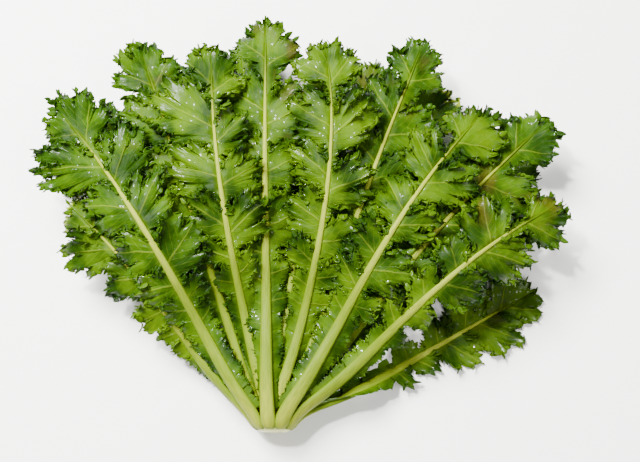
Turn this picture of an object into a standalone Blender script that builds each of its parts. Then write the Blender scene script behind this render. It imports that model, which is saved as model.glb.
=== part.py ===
"""A whole head of curly endive, cut at the stump and laid on its side.

The stump carries three rings of leaves. Each leaf is one solid: a fleshy rib that
thins to the tip, and a blade that is cut into toothed, waved lobes. The head is
pressed flat into a fan, so the blades lie over each other in six layers, with the
backs of the upper leaves facing up and the backs of the lower leaves facing down.
Everything is in metres. +Y runs from the stump to the leaf tips, +Z is up and the
surface that the head lies on is Z = 0.
"""

import math
from typing import NamedTuple

import bpy

MM = 0.001

# The head as it lies
AXIS_HEIGHT = 23.5 * MM  # the stump's axis above the surface
FAN_MIDDLE = 6.0  # degrees: the fan is spread a little further to the right
FAN_HALF = 67.0  # degrees from the middle of the fan to where it would have no thickness
LOWEST_LAYER = 2.6 * MM  # the middle of the bottom layer
PRESSED = 0.22  # share of its depth that a rib keeps below its middle where it lies on the surface
PRESSED_BLADE = 0.4  # and of its blade's thickness
TURN_OUT = 11.0 * MM  # how soon a rib turns from the stump's direction to its own
FLARE_LENGTH = 12.0 * MM
LAYER_GAP_STUMP = 5.5 * MM
LAYER_GAP_LEAFY = 15.0 * MM
LEAFY_DISTANCE = 175.0 * MM  # from the stump, where the layers are furthest apart
FAN_EDGE_GAP = 0.30  # share of the layer gap that is left at the sides of the fan
TIP_SAG = 0.22  # share of the layer gap that is lost at the tips
TIP_DISTANCE = 290.0 * MM
SWELL = 0.10  # slow waves in the layer gap, as a share of it
SWELL_LENGTH = 38.0 * MM
SETTLE_START = 58.0 * MM  # where a rib leaves its place round the stump for its layer
SETTLE_END = 122.0 * MM
ROLL_END = 85.0 * MM  # where a rib has finished turning its back up or down
TOP_HALF = 4  # this layer and those above it have their backs up

# The blade
FOOT_WIDTH = 0.66  # the rib's width at its foot, as a share of its full width
FOOT_LENGTH = 0.13  # where it has its full width, as a share of the leaf's length
RIB_BACK = 0.50  # how far the rib stands out at the back, at the face and at its sides,
RIB_FACE = 0.28  # as shares of its depth
RIB_SHOULDER = 0.24
RIB_TIP_WIDTH = 1.6 * MM
RIB_TIP_DEPTH = 1.5 * MM
WIDTH_TAPER = 1.35
DEPTH_TAPER = 1.5
BLADE = 1.3 * MM  # measured straight up, so that a steep wave keeps 0.7 mm
LEAST_THICKNESS = 0.8 * MM
WING_FOOT = 0.4 * MM  # the blade beside the foot of the rib
WING = 1.0 * MM  # and beside the leaf stalk
TIP_REACH = 6.0 * MM  # the blade beyond the end of the rib
WIDEST_LATE = 2.9  # the lobes are widest at three quarters of the leaf's length
FULLNESS = 0.85
NARROWEST_END = 0.955  # so that the last lobes aren't the narrowest
WAVE = 0.36  # height of the waves at the margin, as a share of the free gap
MID_COLUMN = 0.55  # where the upper leaves have a row of points between rib and margin
FOOT_TAPER = 0.90  # the rib's width towards the stump's axis, as a share of that of its back
STUMP_GAP = 0.35 * MM

# The rows of a lobe from the stump's side to the tip's: the share of the full reach, the
# direction from the rib in degrees, and the wave from -1 to 1. A row in a sinus comes first.
COARSE_LOBE = ((0.20, 62.0, 0.0), (0.88, 75.0, -1.0), (1.0, 57.0, 1.0))
FINE_LOBE = ((0.17, 65.0, 0.0), (0.82, 77.0, -0.8), (1.0, 66.0, 1.0), (0.86, 55.0, -0.5))
WAVE_RISE = 1.6  # how late a wave rises between the rib and the margin
CALM_TIP = 0.5  # how much of the waves' height is lost towards the tip
SWEEP_AT_TIP = 22.0  # how many degrees the last lobes lean further forward


class Ring(NamedTuple):
    """Leaves that leave the stump at the same distance along its axis."""

    radius: float
    flare: float  # how far the ribs move outwards just past their feet
    start: float
    first_bearing: float  # degrees round the axis, 0 to the right and 90 up
    step: float
    rib_width: float
    rib_depth: float


class Leaf(NamedTuple):
    """One leaf. Angles are in degrees, from +Y towards +X."""

    name: str
    ring: Ring
    place: int
    fan: float
    bend: float
    layer: int
    length: float
    reach: tuple  # of the widest lobe on the left and on the right
    lobes: int
    lobe: tuple
    columns: tuple


OUTER_RING = Ring(15.0 * MM, 6.5 * MM, 2.0 * MM, 175.0, 36.0, 11.0 * MM, 4.5 * MM)
MIDDLE_RING = Ring(12.2 * MM, 4.0 * MM, 14.0 * MM, 157.0, 40.0, 8.8 * MM, 3.6 * MM)
INNER_RING = Ring(9.4 * MM, 2.5 * MM, 27.0 * MM, 135.0, 45.0, 6.8 * MM, 2.8 * MM)

# Name, place in the ring, fan angle, bend, layer, then in mm the length and how far
# the widest lobe reaches on the left and on the right
OUTER_LEAVES = (
    ("leaf_second_1", 0, -35.0, -4.0, 5, 188.0, 32.0, 36.0),
    ("leaf_top_1", 1, -28.0, -4.0, 6, 254.0, 42.0, 42.0),
    ("leaf_second_3", 2, -0.5, 0.0, 5, 280.0, 35.0, 37.0),
    ("leaf_top_4", 3, 28.5, 4.0, 6, 250.0, 34.0, 40.0),
    ("leaf_top_5", 4, 45.0, 5.0, 6, 228.0, 32.0, 36.0),
    ("leaf_bottom_5", 5, 59.5, 0.5, 1, 184.0, 30.0, 31.0),
    ("leaf_bottom_4", 6, 39.0, 0.0, 1, 262.0, 40.0, 36.0),
    ("leaf_bottom_3", 7, 12.0, 2.0, 1, 270.0, 40.0, 40.0),
    ("leaf_bottom_2", 8, -10.0, -2.0, 1, 264.0, 40.0, 40.0),
    ("leaf_bottom_1", 9, -30.0, -4.0, 1, 234.0, 36.0, 38.0),
)
MIDDLE_LEAVES = (
    ("leaf_second_2", 0, -17.5, -0.5, 5, 262.0, 42.0, 36.0),
    ("leaf_top_2", 1, -12.5, 3.5, 6, 244.0, 42.0, 36.0),
    ("leaf_top_3", 2, 16.0, -8.0, 6, 244.0, 36.0, 38.0),
    ("leaf_second_4", 3, 19.0, 1.0, 5, 270.0, 36.0, 38.0),
    ("leaf_second_5", 4, 38.5, 3.0, 5, 262.0, 38.0, 40.0),
    ("leaf_under_4", 5, 44.0, 6.0, 2, 216.0, 36.0, 38.0),
    ("leaf_under_3", 6, 25.0, 2.0, 2, 254.0, 40.0, 38.0),
    ("leaf_under_2", 7, -4.0, 0.0, 2, 258.0, 42.0, 42.0),
    ("leaf_under_1", 8, -26.0, -2.0, 2, 242.0, 38.0, 42.0),
)
INNER_LEAVES = (
    ("leaf_heart_2", 0, -11.0, 0.0, 4, 212.0, 31.0, 30.0),
    ("leaf_heart_3", 1, 9.0, 0.0, 4, 218.0, 30.0, 30.0),
    ("leaf_heart_4", 2, 20.0, 7.0, 4, 214.0, 30.0, 32.0),
    ("leaf_heart_8", 3, 42.0, 1.0, 3, 192.0, 30.0, 32.0),
    ("leaf_heart_7", 4, 20.0, 0.0, 3, 206.0, 31.0, 31.0),
    ("leaf_heart_6", 5, -1.0, 0.0, 3, 202.0, 30.0, 31.0),
    ("leaf_heart_5", 6, -17.0, -3.0, 3, 204.0, 31.0, 30.0),
    ("leaf_heart_1", 7, -28.5, -4.0, 4, 196.0, 31.0, 30.0),
)

OUTER_LOBES = 6  # on each side of a leaf
INNER_LOBES = 4

STALK_ROWS = (0.0, 0.045, 0.10)  # shares of the leaf's length
LOBES_FROM = 0.17
LOBES_TO = 1.0

# The stump, as radii at distances along its axis
STUMP_CUT_Y = -5.0 * MM
STUMP_CUT_RADIUS = 12.5 * MM
STUMP_BEVEL = 2.8 * MM
STUMP_RADIUS = 16.5 * MM
STUMP_SIDES = 16
GROWING_TIP = 12.0 * MM  # how far the stem's tip stands past the feet of the inner leaves

# Colours are linear red, green and blue
OUTER_GREEN = (0.105, 0.235, 0.022)
INNER_GREEN = (0.235, 0.370, 0.050)
STUMP_CREAM = (0.560, 0.600, 0.300)


def ease(share: float) -> float:
    """Go smoothly from 0 to 1 as the share does."""
    share = min(1.0, max(0.0, share))
    return share * share * (3.0 - 2.0 * share)


def mix(low: float, high: float, share: float) -> float:
    """Blend two numbers."""
    return low + (high - low) * share


def layer_gap(x: float, y: float) -> float:
    """The height between two layers of leaves over a point of the surface."""
    distance = math.hypot(x, y)
    off_middle = (math.degrees(math.atan2(x, y)) - FAN_MIDDLE) / FAN_HALF
    lens = mix(FAN_EDGE_GAP, 1.0, math.sqrt(max(0.0, 1.0 - off_middle**2)))
    sag = 1.0 - TIP_SAG * ease((distance - LEAFY_DISTANCE) / (TIP_DISTANCE - LEAFY_DISTANCE))
    swell = 1.0 + SWELL * math.sin(x / SWELL_LENGTH + 1.0) * math.cos(y / SWELL_LENGTH)
    gap = mix(LAYER_GAP_STUMP, LAYER_GAP_LEAFY, ease(distance / LEAFY_DISTANCE))
    return gap * lens * sag * swell


def layer_height(layer: int, x: float, y: float) -> float:
    """The height of a layer's middle over a point of the surface."""
    return LOWEST_LAYER + (layer - 1) * layer_gap(x, y)


def rib_width(leaf: Leaf, share: float) -> float:
    """The rib's width at a share of the leaf's length."""
    foot = mix(FOOT_WIDTH, 1.0, ease(share / FOOT_LENGTH))
    return mix(RIB_TIP_WIDTH, leaf.ring.rib_width * foot, max(0.0, 1.0 - share) ** WIDTH_TAPER)


def rib_depth(leaf: Leaf, share: float) -> float:
    """The rib's depth at a share of the leaf's length."""
    return mix(RIB_TIP_DEPTH, leaf.ring.rib_depth, max(0.0, 1.0 - share) ** DEPTH_TAPER)


def lobe_reach(leaf: Leaf, share: float, side: int) -> float:
    """How far the lobes reach from the rib at a share of the leaf's length."""
    full = math.sin(math.pi * (NARROWEST_END * share) ** WIDEST_LATE) ** FULLNESS
    wing = mix(WING_FOOT, WING, ease(share / FOOT_LENGTH))
    return wing + leaf.reach[side] * full


def bearing(leaf: Leaf) -> float:
    """The leaf's place round the stump's axis in degrees, from -90 to 270."""
    return (leaf.ring.first_bearing - leaf.ring.step * leaf.place + 90.0) % 360.0 - 90.0


def rib_place(leaf: Leaf, along: float) -> tuple[float, float, float]:
    """The plan position of the rib, and its direction in radians from +Y, at a distance along it."""
    flare = leaf.ring.flare * (1.0 - math.exp(-along / FLARE_LENGTH))
    fade = math.exp(-along / TURN_OUT)
    share = along / leaf.length
    angle = math.radians(leaf.fan * (1.0 - fade) + leaf.bend * share**2)
    turn = math.radians(leaf.fan * fade * along / TURN_OUT + 2.0 * leaf.bend * share**2)
    side = (leaf.ring.radius + flare) * math.cos(math.radians(bearing(leaf)))
    return side + along * math.sin(angle), leaf.ring.start + along * math.cos(angle), angle + turn


def leaf_point(leaf: Leaf, along: float, across: float, out: float) -> tuple[float, float, float]:
    """Place one point of a leaf in the head.

    along is the distance along the rib, across the distance to its side and out the
    distance towards the leaf's back, which faces away from the head's middle.
    """
    roll = bearing(leaf) - 90.0
    roll = math.radians(mix(roll, settled_roll(leaf), ease(along / ROLL_END)))
    flare = leaf.ring.flare * (1.0 - math.exp(-along / FLARE_LENGTH))
    x, y, angle = rib_place(leaf, along)
    foot_height = AXIS_HEIGHT + (leaf.ring.radius + flare) * math.sin(math.radians(bearing(leaf)))
    settled = ease((math.hypot(x, y) - SETTLE_START) / (SETTLE_END - SETTLE_START))
    sideways = across * math.cos(roll) - out * math.sin(roll)
    px = x + sideways * math.cos(angle)
    py = y - sideways * math.sin(angle)
    layer = layer_height(leaf.layer, px, py)
    if leaf.layer == 1:
        layer = min(layer, PRESSED * rib_depth(leaf, along / leaf.length) + PRESSED_BLADE * BLADE)
    height = mix(foot_height, layer, settled)
    return px, py, height + across * math.sin(roll) + out * math.cos(roll)


def settled_roll(leaf: Leaf) -> float:
    """The roll in degrees that leaves the back of a leaf facing straight up or down."""
    if leaf.layer >= TOP_HALF:
        return 0.0
    return 180.0 if bearing(leaf) > 90.0 else -180.0


def lobe_rows(leaf: Leaf) -> list[tuple[float, int]]:
    """The rows across the leaf: shares of its length, with their numbers in the run of lobes."""
    rows = [(share, -1) for share in STALK_ROWS]
    count = leaf.lobes * len(leaf.lobe)
    for i in range(count + 1):
        rows.append((mix(LOBES_FROM, LOBES_TO, i / count), i))
    return rows


def margin(leaf: Leaf, share: float, number: int, side: int) -> tuple[float, float, float]:
    """The blade's margin at one side of a row: its place ahead and across, and its wave."""
    full = lobe_reach(leaf, share, side)
    if number < 0:
        return 0.0, full, 0.0
    if share >= LOBES_TO:
        return TIP_REACH, TIP_REACH, 0.0
    reach, direction, wave = leaf.lobe[number % len(leaf.lobe)]
    direction = math.radians(direction - SWEEP_AT_TIP * share**3)
    return full * reach * math.cos(direction), full * reach * math.sin(direction), wave


def blade_row(leaf: Leaf, share: float, number: int) -> tuple[list, list]:
    """The points of one row across the leaf, on its back and on its face, side to side."""
    along = share * leaf.length
    half_rib = 0.5 * rib_width(leaf, share)
    depth = rib_depth(leaf, share)
    narrow = mix(FOOT_TAPER, 1.0, ease(along / ROLL_END))
    back = [leaf_point(leaf, along, 0.0, RIB_BACK * depth + 0.5 * BLADE)]
    face = [leaf_point(leaf, along, 0.0, -RIB_FACE * depth - 0.5 * BLADE)]
    underside = leaf.layer < TOP_HALF
    for side in (-1.0, 1.0):
        # The lobes of the two sides stand in turn, one row apart.
        right = int((side > 0.0) != underside)
        shifted = number + right if number >= 0 else number
        ahead, across, wave = margin(leaf, share, shifted, right)
        shoulder = RIB_SHOULDER * depth + 0.5 * BLADE
        back_side = [leaf_point(leaf, along, side * half_rib, shoulder)]
        face_side = [leaf_point(leaf, along, side * half_rib * narrow, -shoulder)]
        for column in leaf.columns:
            at = along + ahead * column
            x, y, _ = leaf_point(leaf, at, 0.0, 0.0)
            free = max(0.0, layer_gap(x, y) - BLADE - (RIB_BACK + RIB_FACE) * depth)
            height = WAVE * free * wave * column**WAVE_RISE * (1.0 - CALM_TIP * share**4)
            if leaf.layer == 1:
                height = -abs(height)
            middle = side * (half_rib + across * column)
            back_side.append(leaf_point(leaf, at, middle, height + 0.5 * BLADE))
            face_side.append(leaf_point(leaf, at, middle, height - 0.5 * BLADE))
        back = back_side[::-1] + back if side < 0.0 else back + back_side
        face = face_side[::-1] + face if side < 0.0 else face + face_side
    return back, face


def pressed(back: list, face: list) -> tuple[list, list]:
    """Flatten against the surface what would sink into it, and keep the blade's thickness."""
    firm_back, firm_face = [], []
    for (bx, by, bz), (fx, fy, fz) in zip(back, face):
        if bz < 0.0:
            bz, fz = 0.0, max(fz, LEAST_THICKNESS)
        elif fz < 0.0:
            bz, fz = max(bz, LEAST_THICKNESS), 0.0
        firm_back.append((bx, by, bz))
        firm_face.append((fx, fy, fz))
    return firm_back, firm_face


def strip(a: list, b: list, turned: bool) -> list:
    """Join two equal rows of vertex numbers by triangles, all split along the same diagonal."""
    faces = []
    for i in range(len(a) - 1):
        quad = (a[i], a[i + 1], b[i + 1], b[i])
        corners = ((quad[0], quad[1], quad[2]), (quad[0], quad[2], quad[3]))
        faces += [c[::-1] for c in corners] if turned else list(corners)
    return faces


def make_leaf(leaf: Leaf, material: bpy.types.Material) -> bpy.types.Object:
    """Build one leaf as a closed solid: its back, its face and the margin between them."""
    points, back_rows, face_rows = [], [], []
    for share, number in lobe_rows(leaf):
        back, face = pressed(*blade_row(leaf, share, number))
        for row, numbers in ((back, back_rows), (face, face_rows)):
            numbers.append(list(range(len(points), len(points) + len(row))))
            points += row
    faces = []
    for rows, turned in ((back_rows, False), (face_rows, True)):
        for a, b in zip(rows, rows[1:]):
            faces += strip(a, b, turned)
    for end in (0, -1):
        faces += strip(back_rows[end], face_rows[end], end == 0)
    for side in (0, -1):
        back_edge = [row[side] for row in back_rows]
        face_edge = [row[side] for row in face_rows]
        faces += strip(back_edge, face_edge, side == -1)
    return make_object(leaf.name, points, faces, material)


def make_object(name: str, points: list, faces: list, material: bpy.types.Material) -> bpy.types.Object:
    """Make a mesh object from points and faces."""
    mesh = bpy.data.meshes.new(name)
    mesh.from_pydata(points, [], faces)
    mesh.update()
    made = bpy.data.objects.new(name, mesh)
    bpy.context.scene.collection.objects.link(made)
    mesh.materials.append(material)
    return made


def make_stump(material: bpy.types.Material) -> bpy.types.Object:
    """Turn the stump: a cut disc, then a step for each ring of leaves and a rounded growing tip."""
    profile = [(STUMP_CUT_Y, STUMP_CUT_RADIUS), (STUMP_CUT_Y + STUMP_BEVEL, STUMP_RADIUS)]
    radius = STUMP_RADIUS
    for ring in (OUTER_RING, MIDDLE_RING, INNER_RING):
        inside = ring.radius - RIB_FACE * ring.rib_depth - 0.5 * BLADE - STUMP_GAP
        profile += [(ring.start - STUMP_GAP, radius), (ring.start - STUMP_GAP, inside)]
        radius = inside
    profile += [(INNER_RING.start + 0.75 * GROWING_TIP, 0.8 * radius)]
    points = [(0.0, profile[0][0], AXIS_HEIGHT)]
    for y, r in profile:
        for i in range(STUMP_SIDES):
            turn = math.tau * i / STUMP_SIDES
            points.append((r * math.cos(turn), y, AXIS_HEIGHT + r * math.sin(turn)))
    points.append((0.0, INNER_RING.start + GROWING_TIP, AXIS_HEIGHT))
    faces = []
    for i in range(STUMP_SIDES):
        j = (i + 1) % STUMP_SIDES
        faces.append((0, 1 + i, 1 + j))
        for ring in range(len(profile) - 1):
            a, b = 1 + ring * STUMP_SIDES, 1 + (ring + 1) * STUMP_SIDES
            faces.append((a + i, b + i, b + j, a + j))
        last = 1 + (len(profile) - 1) * STUMP_SIDES
        faces.append((len(points) - 1, last + j, last + i))
    return make_object("stump", points, faces, material)


def make_material(name: str, colour: tuple, roughness: float) -> bpy.types.Material:
    """Make a plain Principled material."""
    material = bpy.data.materials.new(name)
    material.use_nodes = True
    shader = material.node_tree.nodes["Principled BSDF"]
    shader.inputs["Base Color"].default_value = (*colour, 1.0)
    shader.inputs["Roughness"].default_value = roughness
    shader.inputs["Metallic"].default_value = 0.0
    return material


def centre_on_footprint(made: list) -> None:
    """Move everything so that the origin is under the middle of the head, on the surface."""
    corners = [v.co for o in made for v in o.data.vertices]
    middle_x = (min(c.x for c in corners) + max(c.x for c in corners)) / 2.0
    middle_y = (min(c.y for c in corners) + max(c.y for c in corners)) / 2.0
    for o in made:
        for v in o.data.vertices:
            v.co.x -= middle_x
            v.co.y -= middle_y


def main() -> None:
    """Clear the scene and build the head."""
    for o in list(bpy.data.objects):
        bpy.data.objects.remove(o)
    outer = make_material("outer_leaf_green", OUTER_GREEN, 0.35)
    inner = make_material("inner_leaf_pale_green", INNER_GREEN, 0.38)
    cream = make_material("stump_cream", STUMP_CREAM, 0.55)
    made = [make_stump(cream)]
    whorls = (
        (OUTER_RING, OUTER_LEAVES, OUTER_LOBES, outer),
        (MIDDLE_RING, MIDDLE_LEAVES, OUTER_LOBES, outer),
        (INNER_RING, INNER_LEAVES, INNER_LOBES, inner),
    )
    for ring, leaves, lobes, material in whorls:
        for name, place, fan, bend, layer, length, left, right in leaves:
            lobe = FINE_LOBE if layer == 6 else COARSE_LOBE
            columns = (MID_COLUMN, 1.0) if layer >= 5 else (1.0,)
            reach = (left * MM, right * MM)
            leaf = Leaf(name, ring, place, fan, bend, layer, length * MM, reach, lobes, lobe, columns)
            made.append(make_leaf(leaf, material))
    centre_on_footprint(made)


main()
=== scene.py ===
"""A head of curly endive lying on its side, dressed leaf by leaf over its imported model.

The head is a fan of leaves on a cut stump. Each leaf is one piece: a fleshy rib and
two blades cut into toothed, ruffled lobes. Everything is in metres, +Y runs from the
stump to the leaf tips and +Z is up.
"""

import logging
import math
from collections.abc import Callable
from dataclasses import dataclass, field
from enum import Enum, IntEnum
from functools import partial

import bpy
import numpy as np
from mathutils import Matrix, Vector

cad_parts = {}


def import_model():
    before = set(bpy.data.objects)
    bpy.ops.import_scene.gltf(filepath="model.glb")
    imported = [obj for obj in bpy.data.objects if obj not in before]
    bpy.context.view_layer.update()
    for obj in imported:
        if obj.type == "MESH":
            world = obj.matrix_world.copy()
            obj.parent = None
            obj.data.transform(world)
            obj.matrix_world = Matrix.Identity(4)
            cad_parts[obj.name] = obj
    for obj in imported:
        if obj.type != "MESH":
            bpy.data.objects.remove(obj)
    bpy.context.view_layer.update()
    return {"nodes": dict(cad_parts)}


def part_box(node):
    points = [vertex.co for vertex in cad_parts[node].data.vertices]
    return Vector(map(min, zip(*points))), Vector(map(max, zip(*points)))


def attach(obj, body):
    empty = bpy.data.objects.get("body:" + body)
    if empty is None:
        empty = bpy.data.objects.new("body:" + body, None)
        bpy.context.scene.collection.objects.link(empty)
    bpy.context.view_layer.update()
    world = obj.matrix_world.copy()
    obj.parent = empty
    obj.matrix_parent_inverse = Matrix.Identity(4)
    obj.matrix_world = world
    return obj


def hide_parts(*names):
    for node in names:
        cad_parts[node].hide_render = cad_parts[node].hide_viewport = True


MM = 0.001
LOG = logging.getLogger("endive")
Array = np.ndarray
Number = Array | float
Socket = bpy.types.NodeSocket
Given = Socket | bpy.types.Material | tuple | str | float
Adder = Callable[..., Socket]


class Side(Enum):
    """The side of a rib that a blade grows on, as a sign across the rib."""

    LEFT = -1.0
    RIGHT = 1.0


class Layer(IntEnum):
    """The layers of the fan, counted from the table up."""

    BOTTOM = 1
    UNDER = 2
    HEART_LOW = 3
    HEART_HIGH = 4
    SECOND = 5
    TOP = 6


class Detail(Enum):
    """How finely a leaf is made."""

    SHOWN = (1.5 * MM, 11, 80, 16)
    SHADED = (2.2 * MM, 9, 60, 12)
    EDGE = (3.0 * MM, 7, 40, 12)
    HEART = (3.0 * MM, 7, 36, 10)

    def __init__(self, step: float, columns: int, rib_rows: int, rib_sides: int) -> None:
        """Name the measures.

        Args:
            step: the distance between points of the margin.
            columns: the number of points from the rib to the margin.
            rib_rows: the number of rings of points along the rib.
            rib_sides: the number of points in a ring.
        """
        self.step, self.columns = step, columns
        self.rib_rows, self.rib_sides = rib_rows, rib_sides


def ease(share: Number) -> Number:
    """Go smoothly from 0 to 1.

    Args:
        share: the way covered, which may lie outside 0 to 1.

    Returns:
        The eased value, from 0 to 1.
    """
    share = np.clip(share, 0.0, 1.0)
    return share * share * (3.0 - 2.0 * share)


def mix(low: Number, high: Number, share: Number) -> Number:
    """Blend two values."""
    return low + (high - low) * share


def smooth_noise(rng: np.random.Generator, run: Array, step: float) -> Array:
    """Draw a smooth random curve.

    Args:
        rng: the seeded source of the draw.
        run: increasing positions to read the curve at.
        step: the distance between the curve's random knots.

    Returns:
        A value from about -1 to 1 at each position.
    """
    count = int((run[-1] - run[0]) / step) + 4
    knots = rng.uniform(-1.0, 1.0, count)
    place = (run - run[0]) / step
    low = np.floor(place).astype(int)
    return mix(knots[low], knots[low + 1], ease(place - low))


class Bulges:
    """A smooth random height over a plane, made of rounded bumps and dips."""

    KNOTS = 64

    def __init__(self, rng: np.random.Generator, cell: float) -> None:
        """Draw the heights of a lattice.

        Args:
            rng: the seeded source of the draw.
            cell: the distance between the lattice's knots.
        """
        self.knots = rng.uniform(-1.0, 1.0, (self.KNOTS, self.KNOTS))
        self.cell = cell

    def knot(self, i: Array, j: Array) -> Array:
        """Read the heights of knots, going round at the lattice's ends."""
        return self.knots[i % self.KNOTS, j % self.KNOTS]

    def read(self, x: Array, y: Array) -> Array:
        """Give the height over points of the plane.

        Args:
            x: the points' first coordinate.
            y: the points' second coordinate.

        Returns:
            A value from about -1 to 1 at each point.
        """
        x, y = x / self.cell + self.KNOTS / 2, y / self.cell + self.KNOTS / 2
        i, j = np.floor(x).astype(int), np.floor(y).astype(int)
        share_x, share_y = ease(x - i), ease(y - j)
        near = mix(self.knot(i, j), self.knot(i + 1, j), share_x)
        far = mix(self.knot(i, j + 1), self.knot(i + 1, j + 1), share_x)
        return mix(near, far, share_y)


@dataclass(frozen=True)
class Ring:
    """A ring of leaves on the stump. Bearings are in degrees round its axis."""

    radius: float
    flare: float
    start: float
    first_bearing: float
    step: float
    rib_width: float
    rib_depth: float


@dataclass(frozen=True)
class HeadLayout:
    """How the leaves lie over each other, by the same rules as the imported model."""

    axis_height: float = 23.5 * MM
    fan_middle: float = 6.0
    fan_half: float = 67.0
    lowest_layer: float = 2.6 * MM
    pressed: float = 0.22
    gap_stump: float = 5.5 * MM
    gap_leafy: float = 15.0 * MM
    leafy_distance: float = 175.0 * MM
    fan_edge_gap: float = 0.30
    tip_sag: float = 0.22
    tip_distance: float = 290.0 * MM
    swell: float = 0.10
    swell_length: float = 38.0 * MM
    swell_turn: float = 1.0
    settle_start: float = 58.0 * MM
    settle_end: float = 122.0 * MM
    roll_end: float = 85.0 * MM
    turn_out: float = 11.0 * MM
    flare_length: float = 12.0 * MM
    blade: float = 1.3 * MM
    stump_cut: float = -5.0 * MM

    def gap(self, x: Array, y: Array) -> Array:
        """Give the height between two layers over points of the surface.

        Args:
            x: the points' places across the head.
            y: their places along it.

        Returns:
            The height at each point.
        """
        distance = np.hypot(x, y)
        off_middle = (np.degrees(np.arctan2(x, y)) - self.fan_middle) / self.fan_half
        lens = mix(self.fan_edge_gap, 1.0, np.sqrt(np.maximum(0.0, 1.0 - off_middle**2)))
        past = (distance - self.leafy_distance) / (self.tip_distance - self.leafy_distance)
        waves = np.sin(x / self.swell_length + self.swell_turn) * np.cos(y / self.swell_length)
        gap = mix(self.gap_stump, self.gap_leafy, ease(distance / self.leafy_distance))
        return gap * lens * (1.0 - self.tip_sag * ease(past)) * (1.0 + self.swell * waves)

    def shift(self) -> Array:
        """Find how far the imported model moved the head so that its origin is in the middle."""
        low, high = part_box("stump")
        return np.array([(low[0] + high[0]) / 2.0, low[1] - self.stump_cut, 0.0])


@dataclass(frozen=True)
class LeafForm:
    """How a leaf's rib and blade change along it. Places are shares of the leaf's length."""

    foot_width: float = 1.02
    foot_end: float = 0.13
    tip_width: float = 1.4 * MM
    width_fall: float = 1.35
    tip_depth: float = 1.5 * MM
    depth_fall: float = 1.5
    blade_end: float = 0.955
    blade_rise: float = 2.9
    blade_roundness: float = 0.85
    narrow_from: float = 29.0  # degrees from +Y, past which a leaf's wings are narrow
    wing_foot: float = 1.5 * MM
    wing: float = 5.5 * MM
    narrow_wing: float = 3.0 * MM
    wing_start: float = 0.02
    wing_rise: float = 0.16
    wing_fade_start: float = 0.4
    wing_fade: float = 0.3
    wing_fade_by: float = 0.8
    filling: float = 9.0 * MM
    filling_place: float = 0.48
    filling_spread: float = 0.13


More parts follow.
